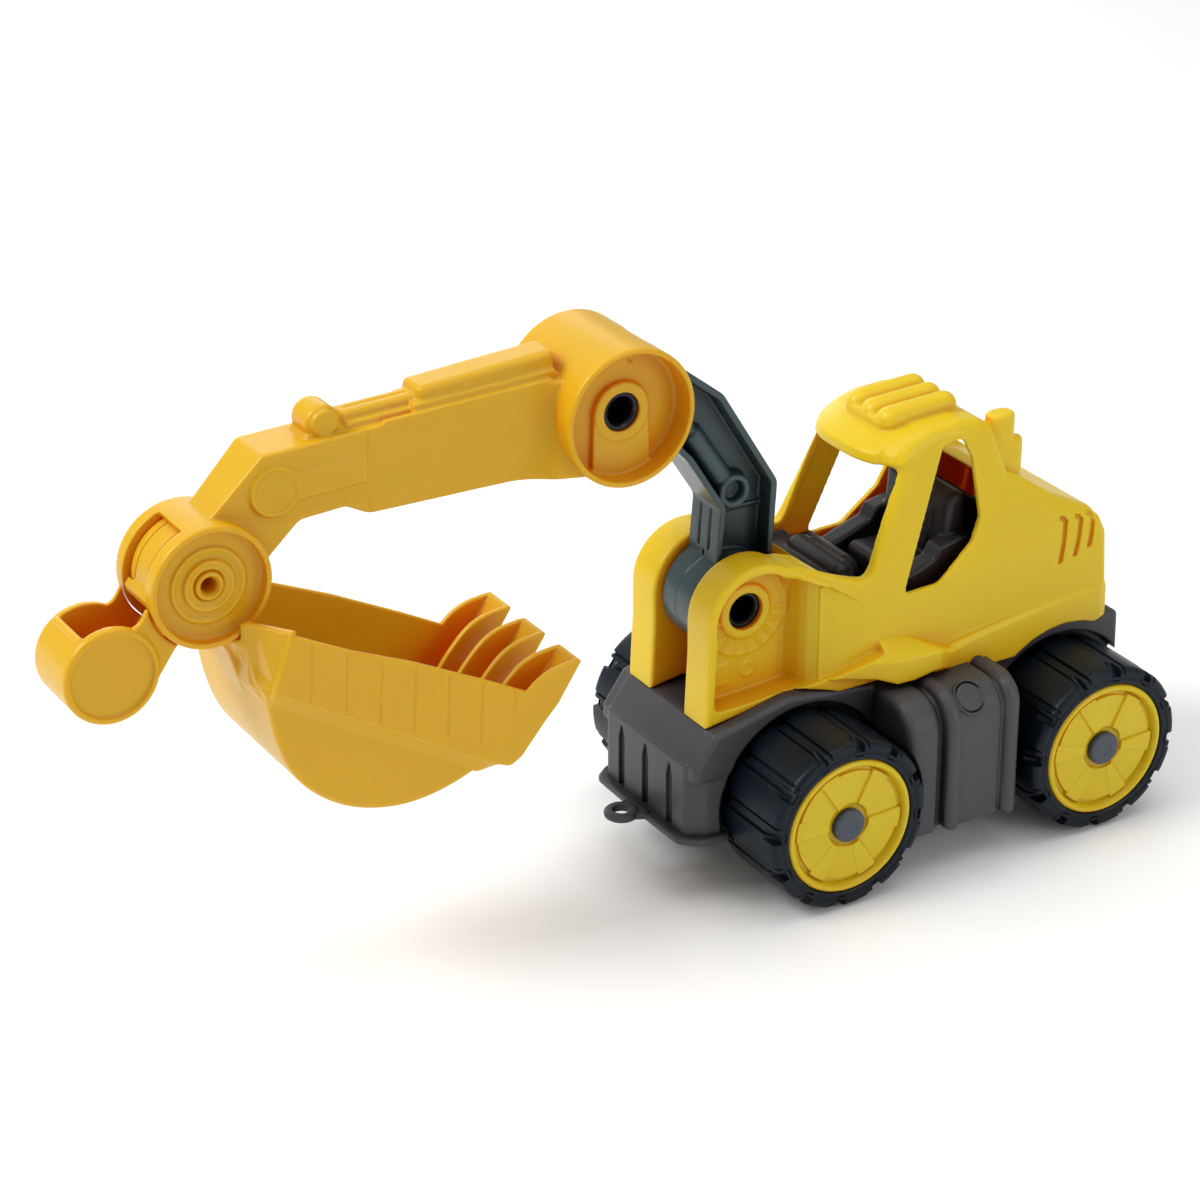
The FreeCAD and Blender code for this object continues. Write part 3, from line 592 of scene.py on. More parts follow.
def make_chassis():
    """Grey moulding: nose, deck, ribbed side tanks and wheel arches, hollow underneath."""
    body = slab(
        [(16.2, 25), (16.4, 55.5), (26, 69.3), (60, 71.5), (80, 73.4), (212, 73.4), (217.4, 75.5),
         (218.2, 57), (212, 25)],
        -28.6, 28.6, radius=2, soften=1,
    )
    corner = slab(
        [(-28.8, 16.2, 3), (28.8, 16.2, 3), (33, 23, 4), (34.8, 34, 2), (34.8, 36), (-34.8, 36),
         (-34.8, 34, 2), (-33, 23, 4)],
        25, 57, soften=1, plane="xy",
    )
    upper = slab(
        [(17, 50), (17.2, 56), (26.5, 69.3), (36, 71.4, 12), (60, 77.2, 16), (84, 74.5, 8), (95, 73.4),
         (160, 71.5, 6), (178, 76.4, 12), (192, 77.8, 14), (207, 75.2, 6), (217.6, 75.2), (218.2, 50)],
        -34.6, 34.6, radius=2, soften=2.2,
    )
    body = join(body, corner, upper)
    seat = slab([(25, 69.5), (25, 90), (216, 90), (216, 73.5), (80, 73.5)], -28.2, 28.2, 1, 0.2)
    body = carve(body, seat)
    pods = []
    for front, rear, half, top, corner_radius, soften in (
        (POD_FRONT - 8, POD_FRONT + 7.2, POD_HALF - 0.4, 73.2, 14, 4.0),
        (POD_FRONT + 4, POD_FRONT + 12, POD_HALF - 3.6, 71.4, 12, 0.5),
        (POD_FRONT + 8.6, POD_FRONT + 15.4, POD_HALF + 2.3, 74.8, 14, 3.0),
        (POD_FRONT + 12, POD_REAR - 9.2, POD_HALF - 0.6, 73.6, 12, 0.6),
        (POD_REAR - 11, POD_REAR - 4, POD_HALF - 3.2, 71.6, 10, 0.5),
        (POD_REAR - 8.4, POD_REAR - 1.4, POD_HALF + 2.4, 75.0, 10, 3.2),
        (POD_REAR - 4, POD_REAR + 1, POD_HALF - 3.0, 73.6, 10, 2.0),
    ):
        pods += both(lambda: slab(
            [(24, 17, 1), (half, 17, 1), (half, top, corner_radius), (24, top, 1)],
            front, rear, soften=soften, plane="xz",
        ))
    body = join(body, *pods)
    arches = []
    for axle_y in AXLE_Y.values():
        arches += both(lambda: drum(37.4, 28.6, 80, axle_y, AXLE_Z, soften=0.2))
    body = carve(body, *arches)
    hollow = slab(
        [(18.8, 10), (18.8, 54), (27.5, 66.8), (80, 70.6), (212, 70.6), (215.4, 56), (210, 10)],
        -26, 26, radius=2, soften=0.3,
    )
    pod_rooms = both(
        lambda: slab([(20, 5), (POD_HALF - 4.4, 5), (POD_HALF - 4.4, 66, 8), (20, 66)],
                     POD_FRONT + 1, POD_REAR - 2.6, soften=0.2, plane="xz")
    )
    bumper_room = slab(
        [(-27, 19), (27, 19), (31.6, 27), (-31.6, 27)], 10, 54, soften=0.3, plane="xy"
    )
    nose_grooves = [
        slab([(x - 2.1, 24.0, 0.4), (x - 2.1, 48, 0.4), (x, 54.6, 0.4), (x + 2.1, 48, 0.4),
              (x + 2.1, 24.0, 0.4)], 13, 18.2, radius=0.4, soften=0.2, plane="xz")
        for x in (-17.5, 0, 17.5)
    ]
    body = carve(body, hollow, *pod_rooms, bumper_room, *nose_grooves)
    bosses = [drum(5.7, -31.2, 31.2, axle_y, AXLE_Z) for axle_y in AXLE_Y.values()]
    webs = [
        slab([(axle_y - 5, AXLE_Z), (axle_y - 5, 72), (axle_y + 5, 72), (axle_y + 5, AXLE_Z)],
             low, high, 1, 0.4)
        for axle_y in AXLE_Y.values()
        for low, high in ((-26.4, -24), (24, 26.4))
    ]
    body = join(body, *bosses, *webs)
    sockets = [drum(2.6, -40, 40, axle_y, AXLE_Z, soften=0.1) for axle_y in AXLE_Y.values()]
    body = carve(body, *sockets)
    return melt(body, 0.45, 3, 0.1)


def make_lip():
    """Thin flange under the nose, with its tow eye."""
    flange = slab(
        [(-30, 12.6, 5), (-11, 12.2, 2), (11, 12.2, 2), (30, 12.6, 5), (36, 20, 8), (36.6, 33, 2),
         (30, 33), (30, 22), (-30, 22), (-30, 33), (-36.6, 33, 2), (-36, 20, 8)],
        24.1, 26.9, soften=0.8, plane="xy",
    )
    loop = join(
        revolve([(24.9, 0), (24.9, 6.1), (25.7, 6.9), (27.2, 6.9), (28.0, 6.1), (28.0, 0)],
                (0, 5.6, 0), (0, 0, 1), 64),
        slab([(-4.6, 6, 0.5), (4.6, 6, 0.5), (9.5, 15, 4), (-9.5, 15, 4)], 24.9, 27.6, soften=0.8,
             plane="xy"),
    )
    hole = revolve([(20, 0), (20, 3.4), (32, 3.4), (32, 0)], (0, 5.6, 0), (0, 0, 1), 48)
    return melt(carve(join(flange, loop), hole), 0.35, 2, 0.3)


def make_button(sign):
    """Round button on a side tank's shoulder, with a groove round it."""
    tilt = Vector((sign * 0.74, 0, 0.67))
    return revolve(
        [(-3, 0), (-3, 7.2), (0.2, 7.2), (0.8, 6.9), (0.9, 6.5), (-0.5, 6.2), (-0.5, 5.8),
         (1.0, 5.5), (1.4, 5.0), (1.5, 4.2), (1.5, 0)],
        (sign * 57.0, 127.0, 69.4), tilt, 64,
    )


chassis = make_chassis()
show(chassis, "chassis_shell", "base", "chassis_grey", CHASSIS_GREY, "chassis")
lip = make_lip()
show(lip, "front_lip", "base", "chassis_grey", CHASSIS_GREY)
for side, sign in (("left", 1), ("right", -1)):
    button = make_button(sign)
    show(button, f"{side}_tank_button", "base", "chassis_grey", CHASSIS_GREY, crease=40)

# ------------------------------------------------------------------ cab body

HULL_HALF = 34.6
EAR_IN, EAR_OUT = 11.7, 28.0
EAR_RADIUS = 22.4
TAPER, TAPER_FOOT, TAPER_RISE = 0.185, 112, 53
HOOD_Y, HOOD_Z, HOOD_FALL = 164.4, 141.6, 0.4926
SHOULDER = 6.0


def cab_taper(x, y, z):
    """The greenhouse leans in towards the roof and its front corners sweep back."""
    rise = ramp(z, TAPER_FOOT, TAPER_RISE)
    sweep = 6.5 * min(1.0, abs(x) / 29) ** 3 * ramp(z, 118, 36) * ramp(y, 130, -24)
    narrow = ramp(y, 82, -18) * ramp(abs(x), 20, 8)
    return x * (1 - TAPER * rise) - math.copysign(6.2 * narrow ** 2, x), y + sweep, z


def cab_roll(point):
    """Radius of the body's long edges: generous on roof and hood, tight elsewhere."""
    if point.y > 150:
        return 6.5
    if point.x > 162 and point.y > 119:
        return 6.0
    if point.x > 206:
        return 3.0
    return 1.6 if point.y > 100 else 0.5


def cab_room_roll(point):
    """Radius of the hollow's long edges, under the matching outer ones."""
    return max(0.3, cab_roll(point) - 2.4)


def hood_side(y, z):
    """Half width of the hood at a height, following its rolled shoulder."""
    top = HOOD_Z - HOOD_FALL * (y - HOOD_Y)
    drop = ramp(z, top - SHOULDER, SHOULDER)
    lean = 1 - TAPER * ramp(z, TAPER_FOOT, TAPER_RISE)
    return (HULL_HALF - SHOULDER * (1 - math.sqrt(1 - drop ** 2))) * lean


def make_vent(foot_y, foot, head_y, head):
    """Shallow groove up the flank, with a short hook at its top."""
    path = [(foot_y, foot), (head_y, head), (head_y - 3.0, head + 1.2)]
    runs = []
    for (from_y, from_z), (to_y, to_z) in zip(path, path[1:]):
        sections = []
        for k in range(7):
            y = from_y + (to_y - from_y) * k / 6
            z = from_z + (to_z - from_z) * k / 6
            depth = hood_side(y, z) - 1.9
            wide, tall = (1.15, 0) if to_z - from_z > 5 else (0, 1.0)
            sections.append([(depth, y - wide, z - tall), (44, y - wide, z - tall),
                             (44, y + wide, z + tall), (depth, y + wide, z + tall)])
        runs.append(loft(sections))
    return join(*runs)


def wedge(at_y, at_z, reach, start_deg, end_deg, half):
    """Slice of a disc between two angles, measured from +Y towards +Z."""
    points = [(at_y, at_z, 0)]
    for k in range(13):
        angle = math.radians(start_deg + (end_deg - start_deg) * k / 12)
        points.append((at_y + reach * math.cos(angle), at_z + reach * math.sin(angle), 0))
    return slab(points, -half, half, 0, 0.05)


def along_flank(sections):
    """Bulge on the left flank, from (y, [(x, z), ...]) cross-sections."""
    return loft([[(x, y, z) for x, z in points] for y, points in sections])


def make_ledge():
    """Step that swells out of the flank above the side tank."""
    return along_flank([
        (76.5, [(31, 81), (31, 95.4), (34.4, 95.2), (35.2, 88), (35.6, 84), (35.4, 80.4)]),
        (86, [(31, 80), (31, 94.6), (34.6, 94.6), (37.0, 88), (38.6, 85), (38.4, 79.6)]),
        (95, [(31, 78), (31, 93.7), (34.8, 93.6), (39.4, 88.4), (41.6, 85.6), (41.4, 78.6)]),
        (103, [(31, 75), (31, 92.6), (35.0, 92.4), (41.6, 88.0), (44.0, 85.2), (43.9, 75.6)]),
        (111, [(31, 75), (31, 91.4), (35.2, 91.2), (41.8, 87.4), (44.1, 85.0), (44.0, 75.4)]),
        (121, [(31, 76), (31, 87.2), (35.4, 87.0), (42.0, 86.4), (44.1, 84.9), (44.0, 77.0)]),
        (123.5, [(31, 76), (31, 86), (35.5, 85.6), (41.8, 85.6), (43.8, 84.5), (43.8, 77.0)]),
        (131, [(31, 73.4), (31, 83), (35.7, 82), (38.6, 82), (39.6, 80.6), (39.4, 73.4)]),
        (140, [(31, 73.4), (31, 82), (35.7, 81.4), (37.0, 81.2), (37.6, 80), (37.4, 74)]),
    ])


def make_lower_fender():
    """Low rounded edge of the flank, back to the tail."""
    return along_flank([
        (124, [(31, 73), (31, 81.4), (37.6, 80.8), (38.8, 79), (39.4, 73)]),
        (133, [(31, 72.5), (31, 83.4), (37.2, 82.2), (38.4, 80.4), (38.8, 72.5)]),
        (150, [(31, 69.4), (31, 86), (36.4, 84.8), (37.6, 83), (38.2, 69.4)]),
        (165, [(31, 69.4), (31, 88), (36.0, 86.6), (37.1, 84.8), (37.8, 69.4)]),
        (177, [(31, 70), (31, 89.2), (35.5, 87.9), (36.6, 86), (37.3, 70)]),
        (192, [(31, 70), (31, 90), (35.0, 88.8), (36.0, 87), (36.6, 70)]),
        (207, [(31, 74.4), (31, 90.4), (34.4, 89.2), (35.2, 87.4), (35.4, 74.4)]),
        (211, [(31, 74.4), (31, 90.4), (33.0, 89.2), (33.6, 87.4), (33.8, 74.4)]),
    ])


def make_ear():
    """Cheek seen from the side: upright front edge, round top, pointed foot."""
    outline = [(25.7, 69.4, 0), (27.0, 96, 0)]
    for k in range(18):
        angle = math.radians(180 - 130 * k / 18)
        outline.append(
            (LOW_Y + EAR_RADIUS * math.cos(angle), LOW_Z + EAR_RADIUS * math.sin(angle), 0)
        )
    outline += [(67, 127.4, 0), (67, 74, 0), (47, 72.6, 0)]
    return slab(outline, EAR_IN, EAR_OUT + 0.3, 0, 1.4)


def make_flank_scoop():
    """Hollow behind the cheek's face, closed by the flank's front corner."""
    pocket = slab(
        [(29.4, 75.2, 3), (31.0, 109.5, 0), (49, 115, 0), (60.4, 124.6, 1), (67.4, 122.4, 0),
         (67.4, 77.4, 2), (47, 75.8, 3)],
        17.4, 44, 2, 0.8,
    )
    well = drum(EAR_RADIUS - 3.4, 17.4, 44, LOW_Y, LOW_Z, soften=0.8)
    corner = loft([
        [(x_in, y, low), (x_in, y, high), (46, y, high), (46, y, low)]
        for y, x_in, low, high in (
            (62.0, 17.4, 77.0, 123.8), (67.0, 17.5, 77.6, 122.6), (68.4, 20.2, 77.9, 122.2),
            (69.8, 24.2, 78.2, 121.6), (71.4, 27.2, 78.6, 121.0), (74.0, 29.8, 79.4, 120.0),
            (77.5, 31.6, 80.6, 118.6), (82.0, 33.0, 82.2, 116.0), (88.0, 34.0, 84.4, 112.0),
            (94.0, 34.7, 86.6, 107.0), (99.0, 35.4, 88.0, 102.0),
        )
    ])
    return join(pocket, well, corner)


def make_cheek_relief():
    """Ring and fan of fine ribs moulded round the lower pin."""
    ring = revolve([(16, 0), (16, 11.4), (18.4, 11.2), (18.8, 10.4), (18.8, 0)], (0, LOW_Y, LOW_Z))
    fan = []
    for k in range(9):
        angle = math.radians(195 + 20 * k)
        along = Vector((0, math.cos(angle), math.sin(angle)))
        centre = Vector((17.3, LOW_Y, LOW_Z))
        fan.append(capsule(centre + along * 11, centre + along * 17.2, 0.8, sides=12))
    arc = revolve([(16, 0), (16, 18.6), (17.9, 18.4), (17.9, 17.6), (17.4, 17.2), (17.4, 0)],
                  (0, LOW_Y, LOW_Z))
    spots = [
        revolve([(16, 0), (16, 3.4), (17.9, 3.2), (18.0, 2.6), (17.6, 2.2), (17.6, 0)], (0, 51, 84.6)),
        slab([(35.4, 79.6), (36.4, 89.6), (42.6, 89.6), (42.4, 80.4)], 16, 18.0, 1, 0.4),
    ]
    return join(ring, *fan, arc, *spots)


def make_cab_body():
    """Yellow moulding: cheeks, cab frame with its windows, roof bars, stack and hood."""
    outer = slab(
        [(62, 73.6), (62, 128.4, 2), (70, 126.0), (80, 122.0), (90, 118.6), (95.4, 117.4),
         (97.4, 122), (103.9, 157.0), (102.6, 159.2, 1), (104.0, 162.4, 3), (107.5, 165.2, 6),
         (115, 167.9, 8), (125, 169.9, 8), (140, 170.6, 8), (150, 169.2, 6), (156.6, 165.4, 5),
         (160.4, 156, 8), (164.4, 141.6, 6), (205.0, 121.6, 9), (209.2, 112), (211.8, 74)],
        -HULL_HALF, HULL_HALF, radius=3, soften=cab_roll,
    )
    slice_up(outer, 0, range(-32, 33, 4))
    slice_up(outer, 1, range(64, 132, 4))
    slice_up(outer, 2, range(112, 168, 5))
    reshape(outer, cab_taper)
    flank_parts = both(make_ledge) + both(make_lower_fender)
    fairing = both(lambda: loft([
        [(24, 150, 134), (31.2, 150, 134), (29.6, 150, 146), (28.4, 150, 150.5), (24, 150, 150.5)],
        [(22, 160, 134), (31.4, 160, 134), (29.8, 160, 144.4), (28.4, 160, 147.4), (22, 160, 147.4)],
        [(21, 168, 130), (31.9, 168, 130), (30.4, 168, 140.8), (29, 168, 143.2), (21, 168, 143.0)],
        [(20, 182, 122), (32.6, 182, 122), (31.6, 182, 131.6), (30.4, 182, 133.4), (20, 182, 133.0)],
    ]))
    bar = [
        capsule((x, 119.0, 170.0), (x, 143.6, 171.6), 5.6, 5.2) for x in (-10.2, 0, 10.2)
    ]
    bar.append(slab([(-15.4, 113.5, 6), (15.4, 113.5, 6), (15.4, 150, 6), (-15.4, 150, 6)],
                    166, 171.6, soften=1.6, plane="xy"))
    stack = [
        slab([(17.4, 156.6, 5), (26.2, 156.6, 5), (26.2, 168.6, 5), (17.4, 168.6, 5)], 136, 168.6,
             soften=2, plane="xy"),
        slab([(17.2, 160, 5), (26.4, 160, 5), (26.4, 172.8, 5), (17.2, 172.8, 5)], 134, 157.6,
             soften=2, plane="xy"),
    ]
    brow = slab([(101.0, 158.0), (102.0, 162.4), (108.4, 165.6), (113, 162), (107.6, 157.6)],
                -25.6, 25.6, radius=1.2, soften=2.0)
    slice_up(brow, 0, range(-24, 25, 4))
    reshape(brow, cab_taper)
    lips = both(lambda: join(
        capsule((26.8, 60.0, 126.6), (27.6, 66.4, 124.6), 1.7, 1.7),
        capsule((27.6, 66.4, 124.6), (33.4, 76.4, 118.2), 1.7, 1.0),
    ))
    ears = both(make_ear)
    body = join(outer, *flank_parts, *fairing, *bar, *stack, brow, *lips, *ears)
    room = slab(
        [(76.6, 68), (76.6, 119.4), (90, 115.6), (97.4, 114.2), (100.6, 121.5), (107.6, 159.8),
         (112, 163.2), (125, 166.4), (140, 167.2), (149, 165.8), (154.0, 162.0), (157.2, 153.6),
         (160.4, 139.8), (203.4, 118.6), (206.6, 110), (209.0, 68)],
        -HULL_HALF + 2.6, HULL_HALF - 2.6, radius=3, soften=cab_room_roll,
    )
    slice_up(room, 0, range(-28, 29, 4))
    slice_up(room, 1, range(80, 132, 4))
    slice_up(room, 2, range(112, 168, 5))
    reshape(room, cab_taper)
    side_window = slab(
        [(110.6, 107.6, 2.5), (131.4, 163.0, 3), (140.8, 164.6, 4), (145.0, 155.4, 4),
         (147.8, 131, 5), (143.8, 121.8, 5), (128, 108.4, 4)],
        -60, 60, soften=0.05,
    )
    windscreen = slab(
        [(-29.0, 112.2, 1), (29.0, 112.2, 1), (26.6, 157.8, 3), (-26.6, 157.8, 3)], 80, 124,
        soften=0.05, plane="xz",
    )
    hatch = slab(
        [(-28.2, 74.8, 1), (28.2, 74.8, 1), (28.6, 99, 1), (-28.6, 99, 1)], 110, 140, soften=0.05,
        plane="xy",
    )
    rear_window = slab(
        [(-23.0, 140.6, 2), (23.0, 140.6, 2), (21.4, 159.0, 3), (-21.4, 159.0, 3)], 151, 175,
        soften=0.05, plane="xz",
    )
    vents = []
    for foot_y, foot, head_y, head in (
        (186.2, 103.0, 188.8, 121.2), (193.4, 104.6, 196.4, 120.4), (200.2, 107.0, 202.4, 120.2),
    ):
        vents += both(lambda: make_vent(foot_y, foot, head_y, head))
    link_gap = slab([(20, 60), (20, 140), (74.4, 140), (74.4, 60)], -EAR_IN, EAR_IN, 0, 0.05)
    arches = []
    for axle_y in AXLE_Y.values():
        arches += both(lambda: drum(42.0, EAR_OUT, 80, axle_y, AXLE_Z, soften=0.2))
    body = carve(body, room, side_window, windscreen, hatch, rear_window, link_gap, *vents,
                 *both(make_flank_scoop), *arches)
    wall = slab([(74.4, 74), (74.4, 121), (76.8, 120.2), (76.8, 74)], -EAR_IN - 2, EAR_IN + 2, 0.4, 0.2)
    linings = both(lambda: slab([(74.6, 74), (74.6, 118.6), (97, 112.6), (97, 74)], 28.6, 31.3, 0.5, 0.2))
    brace = slab([(61.5, 69.8), (61.5, 75.4), (66, 75.4), (66, 69.8)], -EAR_IN - 2, EAR_IN + 2, 1, 0.5)
    body = join(body, *both(make_cheek_relief), wall, brace, *linings)
    bore = drum(7.5, -40, 40, LOW_Y, LOW_Z, soften=0.1)
    body = carve(body, bore)
    return melt(body, 0.42, 4, 0.1)


cab = make_cab_body()
show(cab, "cab_shell", "base", "cab_yellow", CAB_YELLOW, "cab_body")


def make_cabin():
    """Dark tub: sunken deck, dash roll, steps, seat and a lining behind the windows."""
    deck = slab([(77, 110.6), (77, 113.6), (98, 113.6), (98, 110.6)], -28.2, 28.2, 0.6, 0.5)
    curb = both(lambda: slab([(77.2, 111), (77.2, 116.4), (97, 115.0), (97, 111)], 25.6, 28.2, 1, 0.8))
    dash = [drum(5.4, -19, 19, 95.6, 112.6, soften=4), drum(7.0, -15, 15, 99.0, 110.8, soften=5)]
    tub = slab(
        [(98.6, 76), (98.6, 110), (112, 110), (112, 102), (148, 102), (160, 134), (161, 76)],
        -30.6, 30.6, 1, 0.4,
    )
    seat = slab([(118, 102), (118, 110, 4), (146, 109), (146, 102)], -15, 15, 2, 1.5)
    back = slab([(137, 102), (140.4, 135, 3), (149, 139.4, 3), (152, 102)], -21, 21, 2, 3)
    pad = slab([(135.8, 112, 2), (138.6, 130, 4), (143, 130), (143, 112)], -12, 12, 2, 1.6)
    steps = both(lambda: slab(
        [(100, 98), (100, 103.4), (116, 109.4), (131, 114.6), (133.6, 119.2), (144, 121.2),
         (149, 119.6), (149, 98)], 17.4, 26.2, 1.4, 1.0,
    ))
    pocket = slab([(101.4, 93), (101.4, 120), (157, 120), (157, 93)], -16.8, 16.8, 1, 0.3)
    tub = carve(tub, pocket)
    return melt(join(tub, deck, *curb, *dash, seat, back, pad, *steps), 0.5, 3, 0.25)


cabin = make_cabin()
show(cabin, "cabin_tub", "base", "cabin_black", CABIN_BLACK, "cabin_insert")

# ------------------------------------------------------------------ pivot pins


def make_pin(half, radius, bore, at_y, at_z):
    """Hollow pivot pin with rounded heads and a deep blind bore."""
    left = [
        (half - 8, 0), (half - 8, bore * 0.9), (half - 1.8, bore), (half + 0.1, bore + 0.2),
        (half + 1.2, bore + 0.6), (half + 2.0, bore + 1.4), (half + 2.0, radius - 1.2),
        (half + 1.6, radius - 0.3), (half + 0.9, radius), (half, radius), (half, radius - 0.55),
    ]
    right = [(-along, around) for along, around in reversed(left)]
    return revolve(left + right, (0, at_y, at_z))


for name, body, slot, finish, radius, bore, at_y, at_z in (
    ("lower", "base", "pin_black", PIN_BLACK, 8.0, 4.6, LOW_Y, LOW_Z),
    ("upper", "stick", "pin_black", PIN_BLACK, 8.0, 4.6, TOP_Y, TOP_Z),
    ("bucket", "stick", "arm_yellow", ARM_YELLOW, 5.4, 2.7, END_Y, END_Z),
):
    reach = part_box(f"{name}_pin")[1].x / MM - 2.0
    pin = make_pin(reach, radius, bore, at_y, at_z)
    show(pin, f"{name}_pivot_pin", body, slot, finish, f"{name}_pin", f"{name}_pin_ring", crease=35)

# ------------------------------------------------------------------ link

LINK_HALF = 10.4


def make_link():
    """Slate link: thin flange all round a deep panel, half-round rod and its ring boss."""
    plate = slab(
        [(41.0, 112), (41.4, 131), (43.0, 149.5, 6), (27.8, 173, 10), (12, 190), (-8, 196),
         (-8, 215), (8, 218), (24, 211.6, 12), (43.6, 196.3, 9), (68.2, 156.4, 6), (66.2, 124, 10),
         (60, 112)],
        -LINK_HALF, LINK_HALF, radius=5, soften=0.8,
    )
    panels = []
    for low, high in ((2.4, 20), (-20, -2.4)):
        panels.append(slab(
            [(43.2, 116, 2), (43.6, 131), (45.2, 150.2, 5), (30.4, 173.8, 10), (14.6, 190.8, 6),
             (6, 194), (6, 214), (22, 209.6, 10), (41.4, 194.6, 7), (65.2, 156.2, 4), (63.6, 124, 6),
             (62, 116, 2)], low, high, 2, 0.6,
        ))
    grooves = [
        slab([(38, 131), (39, 148), (44.0, 148), (43.0, 131)], x - 0.5, x + 0.5, 0.2, 0.1)
        for x in (-3.4, 3.4)
    ]
    plate = carve(plate, *panels, *grooves)
    rib = slab([(43.0, 131.6), (43.6, 147), (66, 147), (66, 145.4), (45.4, 145.4), (44.8, 131.6)],
               -3.6, 3.6, 0.4, 0.3)
    bosses = []
    for sign in (1, -1):
        bosses.append(revolve(
            [(sign * 2.0, 0), (sign * 2.0, 7.6), (sign * 5.4, 7.2), (sign * 7.9, 6.8),
             (sign * 8.5, 6.2), (sign * 8.6, 5.2), (sign * 8.3, 4.5), (sign * 7.2, 4.1),
             (sign * 4.4, 4.0), (sign * 4.2, 0)],
            (0, 50.2, 155.0)))
        bosses.append(capsule((sign * 2.8, 46.6, 160.2), (sign * 2.8, 33.6, 179.6), 4.6))
        bosses.append(revolve(
            [(0, 0), (0, 4.7), (5.4, 4.7), (6.0, 4.1), (6.0, 0)],
            (sign * 2.6, 35.6, 176.6), (0, -13.0, 19.4)))
        bosses.append(capsule((sign * 2.6, 34, 179), (sign * 2.6, 25.5, 192.4), 3.4))
        bosses.append(revolve(
            [(sign * 2.0, 0), (sign * 2.0, 6.4), (sign * 5.8, 6.2), (sign * 6.6, 5.4),
             (sign * 6.2, 4.4), (sign * 5.0, 3.8), (sign * 5.0, 0)],
            (0, 23.6, 195.2)))
    drums = [
        drum(19.7, -LINK_HALF, LINK_HALF, LOW_Y, LOW_Z, 0.8),
        drum(22.0, -LINK_HALF, LINK_HALF, TOP_Y, TOP_Z, 0.8),
    ]
    base = join(plate, rib, *bosses, *drums)
    faces = both(lambda: revolve(
        [(9.0, 0), (9.0, 17.0), (12, 17.0), (12, 0)], (0, LOW_Y, LOW_Z)))
    seam = revolve([(-0.45, 0), (-0.45, 22), (0.45, 22), (0.45, 0)], (0, LOW_Y, LOW_Z))
    seam = carve(seam, drum(19.45, -3, 3, LOW_Y, LOW_Z, 0.05))
    base = carve(base, *faces, seam)
    hubs = both(lambda: revolve(
        [(8.4, 0), (8.4, 11.4), (10.2, 11.2), (10.5, 10.8), (10.5, 0)], (0, LOW_Y, LOW_Z)))
    base = join(base, *hubs)
    holes = [
        drum(7.7, -14, 14, LOW_Y, LOW_Z, soften=0.1), drum(7.7, -14, 14, TOP_Y, TOP_Z, soften=0.1),
    ]
    return melt(carve(base, *holes), 0.42, 4, 0.3)


link = make_link()
show(link, "link_arm", "link", "link_slate", LINK_SLATE, "lower_link")

# ------------------------------------------------------------------ stick

STICK_HALF = 10.6
TOP_RADIUS, TOP_HALF, TOP_SLOT = 26.6, 23.8, 10.9
END_RADIUS, END_HALF, END_SLOT = 22.9, 15.5, 9.4


def stick_spread(x, y, z):
    """Beam width: narrow at the knee, with a concave flare into the upper drum's cheeks."""
    start = -46.5 + 0.415 * (z - 187)
    flare = 2.4 * ramp(y, start, 2.4 * 16)
    wider = 6.8 * flare ** 2 if flare < 1 else 6.8 + 5.0 * (flare - 1)
    pinch = ramp(-y, 146, 18)
    return x * (1 + min(wider, 11.5) / STICK_HALF - 0.14 * pinch), y, z


def cup(radius, low, high, at_y, at_z):
    """Round pocket with a small inner fillet, opening outwards."""
    return both(lambda: revolve(
        [(low, 0), (low, radius - 1.2), (low + 0.4, radius - 0.3), (low + 1.3, radius),
         (high, radius + 0.2), (high, 0)],
        (0, at_y, at_z)))


